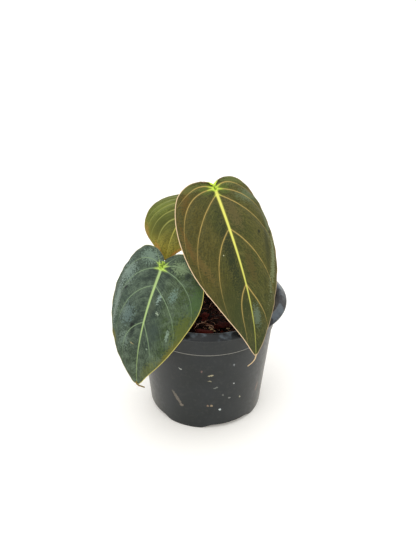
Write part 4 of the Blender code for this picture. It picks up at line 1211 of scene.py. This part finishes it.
# Velvet leaf, older: blue-green to near black, with a stronger painted grey sheen.
left_velvet = leaf_surface(
    "leaf_velvet_dark_green",
    tints={
        "inner": "2E3C30", "right": "36463A", "left": "34461A", "tip": "32401E", "sheen_bloom": "62725E",
        "dark": "14201A", "pale": "66785C", "vein": "768C68", "rib": "A0B876", "heart": "C2E25C",
        "margin": "B4AA58", "thread": "7C6228",
    },
    margin_share=(1.0, 0.4), vein_glow=0.10, sheen_bloom=0.36, sheen=0.14,
    marks=(
        # The pale grey marks are painted sheen of the velvet, together with tide marks of dried water.
        (52.0, -28.0, 30.0, 5.0, 28.0, "5C5A18", 0.9, 0.3),
        (16.0, -34.0, 14.0, 6.0, 0.0, "365020", 0.75, 0.5),
        (36.0, -30.0, 14.0, 6.0, 20.0, "4C561A", 0.8, 0.5),
        (-3.0, -15.0, 5.0, 8.0, 0.0, "7E926A", 0.6, 0.6),
        (73.0, -10.0, 12.0, 4.4, 30.0, "585E28", 0.6, 0.5),
        (-6.0, 12.0, 6.0, 9.0, 0.0, "768C7A", 0.6, 0.6),
        (8.5, 27.0, 9.0, 8.0, 0.0, "82968A", 0.55, 0.7),
        (31.0, 29.0, 18.0, 3.4, -4.0, "84948A", 0.55, 0.7),
        (38.0, 14.0, 8.0, 6.0, 0.0, "667A76", 0.5, 0.9),
        (56.0, 13.0, 6.0, 5.0, 0.0, "708274", 0.5, 0.9),
        (17.0, -17.0, 5.0, 3.0, 0.0, "6A847A", 0.5, 0.9),
        (30.0, -4.0, 8.0, 3.0, 0.0, "3E4636", 0.6, 0.7),
        (44.0, -10.0, 9.0, 5.0, 0.0, "2E3C34", 0.7, 0.8),
        (57.0, 23.0, 6.0, 2.0, -30.0, "5E5A24", 0.8, 0.2),
        (36.0, 35.0, 14.0, 1.2, -6.0, "6A6434", 0.7, 0.2),
        (44.6, 8.0, 2.8, 2.4, 0.0, "020A06", 1.0, 0.35),
        (49.0, 7.5, 5.0, 2.2, 0.0, "0A1812", 0.75, 0.8),
        (40.0, 6.0, 4.0, 1.8, 20.0, "10201A", 0.7, 0.8),
        (20.5, 23.3, 2.4, 1.2, 35.0, "020A06", 1.0, 0.3),
        (10.0, 7.0, 4.0, 1.6, 60.0, "16241C", 0.7, 0.6),
        (0.6, -22.4, 3.5, 2.6, 0.0, "16241C", 0.75, 0.6),
        (34.0, -6.0, 5.0, 2.4, 10.0, "22302A", 0.6, 0.8),
        (21.0, -7.0, 4.2, 1.6, 8.0, "869A8E", 0.7, 0.7),
        (31.3, -9.1, 1.5, 1.3, 0.0, "98A68E", 0.8, 0.8),
        (43.2, -20.5, 4.6, 1.3, 0.0, "829684", 0.7, 0.5),
        (57.3, -6.9, 0.9, 0.7, 0.0, "8EA088", 0.7, 0.4),
        (56.9, 5.3, 0.5, 2.2, 20.0, "A4986A", 0.7, 0.3),
    ),
)
make_leaf(
    "leaf_left_velvet", left_blade, left_velvet, "leaf_left",
    thread=((1.4, -0.3, -1.2), (3.4, -0.5, -1.8), (5.6, -0.6, -2.6)), thread_radius=0.75 * MM, wave=0.14,
)


# ---------------------------------------------------------------- back leaf
# The youngest open blade spreads behind the other two. It is thinner than they are and hasn't darkened yet,
# so it is yellow-olive, with a bronze tip and margin.

back_blade = Blade(
    sinus=(STEM_X - 8.0 * MM, STEM_Y + 22.0 * MM, POT_HEIGHT + 58.0 * MM),
    length=62.5,
    half_width=(33.2, 29.0),
    heading=-133.0,
    sweep=23.0,
    droop=(3.0, 74.0),
    roll=(-7.5, 11.5),
    fold=6.0,
    cup=(145.0, 165.0),
    outline=(
        (-0.055, 0.10), (-0.12, 0.30), (-0.115, 0.55), (-0.02, 0.85), (0.155, 0.97),
        (0.42, 0.93), (0.69, 0.69), (0.865, 0.29), (0.975, 0.07),
    ),
    veins=(
        (0.0, (0.25, (-0.06, 0.27), (-0.07, 0.52)), (0.25, (-0.06, 0.27), (-0.07, 0.52))),
        (0.0, (0.47, (0.0, 0.42), (0.09, 0.76)), (0.47, (0.0, 0.42), (0.09, 0.76))),
        (0.0, (0.69, (0.09, 0.56), (0.34, 0.77)), (0.64, (0.09, 0.52), (0.30, 0.77))),
        (0.06, (0.77, (0.215, 0.455), (0.46, 0.66)), (0.74, (0.20, 0.42), (0.42, 0.66))),
        (0.20, (0.83, (0.36, 0.335), (0.565, 0.49)), (0.82, (0.35, 0.30), (0.54, 0.48))),
        (0.42, (0.90, (0.54, 0.23), (0.70, 0.285)), (0.90, (0.54, 0.20), (0.68, 0.28))),
    ),
    notch=0.04,
)
# Velvet leaf, new: thin, yellow-olive and bronze towards the tip, with little painted sheen.
back_velvet = leaf_surface(
    "leaf_velvet_young",
    tints={
        # The tip tint is paler than the tip's own bronze-olive: painted light, making up for the shade where
        # the tip turns down.
        "inner": "444A04", "right": "505808", "left": "4A4E04", "tip": "B8A840", "sheen_bloom": "6E7232",
        "dark": "3E440A", "pale": "6A6E28", "vein": "96964A", "rib": "BCB450", "heart": "C4D860",
        "margin": "A48A4A", "thread": "9A7A40",
    },
    margin_share=(0.7, 0.6), vein_glow=0.5, sheen_bloom=0.2, sheen=0.05,
    marks=(
        (40.0, 13.0, 9.0, 7.0, 0.0, "3A4000", 0.6, 0.4),
        (22.0, 22.0, 12.0, 8.0, 0.0, "6E7A2C", 0.5, 0.4),
        (56.0, 6.0, 8.0, 1.8, -38.0, "B07A34", 0.8, 0.3),
        (56.0, -6.0, 8.0, 1.8, 38.0, "B07A34", 0.8, 0.3),
        (46.0, 19.0, 9.0, 1.6, -34.0, "8A6A30", 0.7, 0.3),
    ),
)
make_leaf(
    "leaf_back_velvet", back_blade, back_velvet, "leaf_back",
    thread=((0.1, -0.3, -1.2), (0.3, -0.5, -2.2), (0.6, -0.6, -3.0)), thread_radius=0.5 * MM, wave=0.08,
)


# ---------------------------------------------------------------- petioles
# Each leaf stalk clasps the stem with a sheathing foot, rises, and bends into the underside of its blade.
# It is smooth and fleshy, green with fine pale lines, and pinkish brown towards the foot.

PETIOLE_STEPS = 48

# Petiole rind: waxy and smooth, so it is a little glossier than the blades.
rind, shader = new_surface("petiole_rind", 0.4, ior=1.45)
run = add_node(rind, "Attribute", {}, attribute_name="run").outputs["Fac"]
stripes = add_node(rind, "Attribute", {}, attribute_name="stripes").outputs["Vector"]
place = add_node(rind, "TexCoord", {}).outputs["Object"]
line = add_node(rind, "TexNoise", {"Vector": stripes, "Scale": 2.2, "Detail": 3.0}).outputs[0]
freckle = add_node(rind, "TexNoise", {"Vector": place, "Scale": 1 / (1.4 * MM), "Detail": 2.0}).outputs[0]
age = add_node(rind, "MapRange", {0: run, 1: 0.0, 2: 0.45}, interpolation_type="SMOOTHSTEP").outputs[0]
colour = add_node(
    rind, "Mix", {0: age, 6: linear("7E6440"), 7: linear("8C9E50")}, data_type="RGBA"
).outputs[2]
pale = add_node(rind, "MapRange", {0: line, 1: 0.5, 2: 0.68, 4: 0.5}).outputs[0]
colour = add_node(rind, "Mix", {0: pale, 6: colour, 7: linear("BFC487")}, data_type="RGBA").outputs[2]
spot = add_node(rind, "MapRange", {0: freckle, 1: 0.62, 2: 0.75, 4: 0.5}).outputs[0]
colour = add_node(rind, "Mix", {0: spot, 6: colour, 7: linear("6E4A34")}, data_type="RGBA").outputs[2]
fresh = add_node(rind, "MapRange", {0: run, 1: 0.86, 2: 0.96}, interpolation_type="SMOOTHSTEP").outputs[0]
colour = add_node(rind, "Mix", {0: fresh, 6: colour, 7: linear("A8CC4C")}, data_type="RGBA").outputs[2]
rind.node_tree.links.new(colour, shader.inputs["Base Color"])
wale = add_node(rind, "Bump", {"Strength": 0.3, "Distance": 0.15 * MM, "Height": line})
rind.node_tree.links.new(wale.outputs[0], shader.inputs["Normal"])

# Each petiole: its blade, azimuth round the stem, height of its foot above the medium, the way it first
# rises, and how far it runs straight into the blade, in degrees and millimetres.
petioles = {
    "front": (front_blade, -70.0, 13.0, (0.0, -14.0, 38.0), 10.0),
    "left": (left_blade, -150.0, 8.0, (-2.0, 0.0, 20.0), 16.0),
    "back": (back_blade, 110.0, 6.0, (0.0, 2.0, 28.0), 20.0),
}
for side, (blade, azimuth, foot_height, rise, straight_end) in petioles.items():
    angle = math.radians(azimuth)
    reach = STEM_RADIUS + 3.4 * MM
    foot = Vector((
        STEM_X + reach * math.cos(angle), STEM_Y + reach * math.sin(angle), MEDIUM_LEVEL + foot_height * MM,
    ))
    blade_up = Vector(blade.at(blade.up, 0.0))
    approach = (blade_up + Vector((0.0, 0.0, 1.2))).normalized()
    end = Vector(blade.place(np.array(0.0), np.array(0.0))) - blade_up * (LEAF_THICKNESS + 1.0 * MM)
    first = foot + Vector(rise) * MM
    second = end - approach * straight_end * MM
    clasp = foot - Vector((math.cos(angle), math.sin(angle), 0.0)) * 1.6 * MM - Vector((0, 0, 3.0 * MM))
    stalk = [clasp, clasp.lerp(foot, 0.5)]
    for step in range(PETIOLE_STEPS + 1):
        t = step / PETIOLE_STEPS
        stalk.append(
            foot * (1 - t) ** 3 + first * 3 * t * (1 - t) ** 2 + second * 3 * t * t * (1 - t) + end * t ** 3
        )
    radii = [1.2 * MM, 2.3 * MM]
    for step in range(PETIOLE_STEPS + 1):
        share = step / PETIOLE_STEPS
        radii.append(MM * (1.85 + 1.0 * (1 - share) ** 4 - 0.95 * float(smooth(share, 0.93, 1.0))))
    petiole = tube([(stalk, radii)], resolution=8)
    run_layer = petiole.verts.layers.float.new("run")
    stripe_layer = petiole.verts.layers.float_vector.new("stripes")
    finder = KDTree(len(stalk))
    for index, point in enumerate(stalk):
        finder.insert(point, index)
    finder.balance()
    for corner in petiole.verts:
        middle, index, _ = finder.find(corner.co)
        off = corner.co - middle
        corner[run_layer] = index / (len(stalk) - 1)
        corner[stripe_layer] = Vector((off.x / MM, off.y / MM, 0.05 * index + off.z / MM * 0.2))
        groove = smooth(off.normalized().dot(Vector((math.cos(angle), math.sin(angle), 0.0)) * -1), 0.75, 1.0)
        corner.co = middle + off * (1 - 0.14 * groove)
    finish(f"petiole_{side}_stalk", petiole, rind, [f"petiole_{side}"], sharp=60.0)


# ---------------------------------------------------------------- floor, light and camera
# A plain white studio floor under two softboxes, one above and one in front and a little to the left, in a
# white room. The camera stands half a metre off and looks down by some thirty degrees.

floor_shape = bmesh.new()
bmesh.ops.create_grid(floor_shape, x_segments=1, y_segments=1, size=30.0)
floor_mesh = bpy.data.meshes.new("floor")
floor_shape.to_mesh(floor_mesh)
floor_shape.free()
studio_floor = bpy.data.objects.new("floor", floor_mesh)
bpy.context.scene.collection.objects.link(studio_floor)
# Matt white laminate: even and glossless. It glows very faintly, as a floor does that is lit past white, so
# that only the pot's own shadow shows on it.
laminate, shader = new_surface("floor_white_laminate", 0.6)
shader.inputs["Base Color"].default_value = linear("F8F7F4")
shader.inputs["Emission Color"].default_value = linear("FFF6E4")
shader.inputs["Emission Strength"].default_value = 0.14
floor_mesh.materials.append(laminate)

world = bpy.data.worlds.new("studio")
world.use_nodes = True
world.node_tree.nodes["Background"].inputs["Color"].default_value = (1.0, 1.0, 1.0, 1.0)
world.node_tree.nodes["Background"].inputs["Strength"].default_value = 1.0
bpy.context.scene.world = world
bpy.context.scene.view_settings.view_transform = "Standard"

for name, spot, size, power in (
    ("key_softbox", (-0.7, -0.7, 1.5), 1.4, 9.0),
    ("top_softbox", (0.3, 0.5, 1.7), 1.6, 6.0),
):
    lamp = bpy.data.lights.new(name, "AREA")
    lamp.size = size
    lamp.energy = power
    softbox = bpy.data.objects.new(name, lamp)
    softbox.location = spot
    softbox.rotation_euler = (Vector((0, 0, 0.08)) - Vector(spot)).to_track_quat("-Z", "Y").to_euler()
    bpy.context.scene.collection.objects.link(softbox)

camera_data = bpy.data.cameras.new("camera")
camera_data.lens = 45.4
camera_data.sensor_width = 36.0
camera_data.clip_end = 50.0
camera = bpy.data.objects.new("camera", camera_data)
tilt = Matrix.Rotation(math.radians(90 - 29.19), 4, "X") @ Matrix.Rotation(math.radians(0.72), 4, "Z")
camera.matrix_world = Matrix.Translation((0.0009, -0.4526, 0.3598)) @ tilt
bpy.context.scene.collection.objects.link(camera)
bpy.context.scene.camera = camera
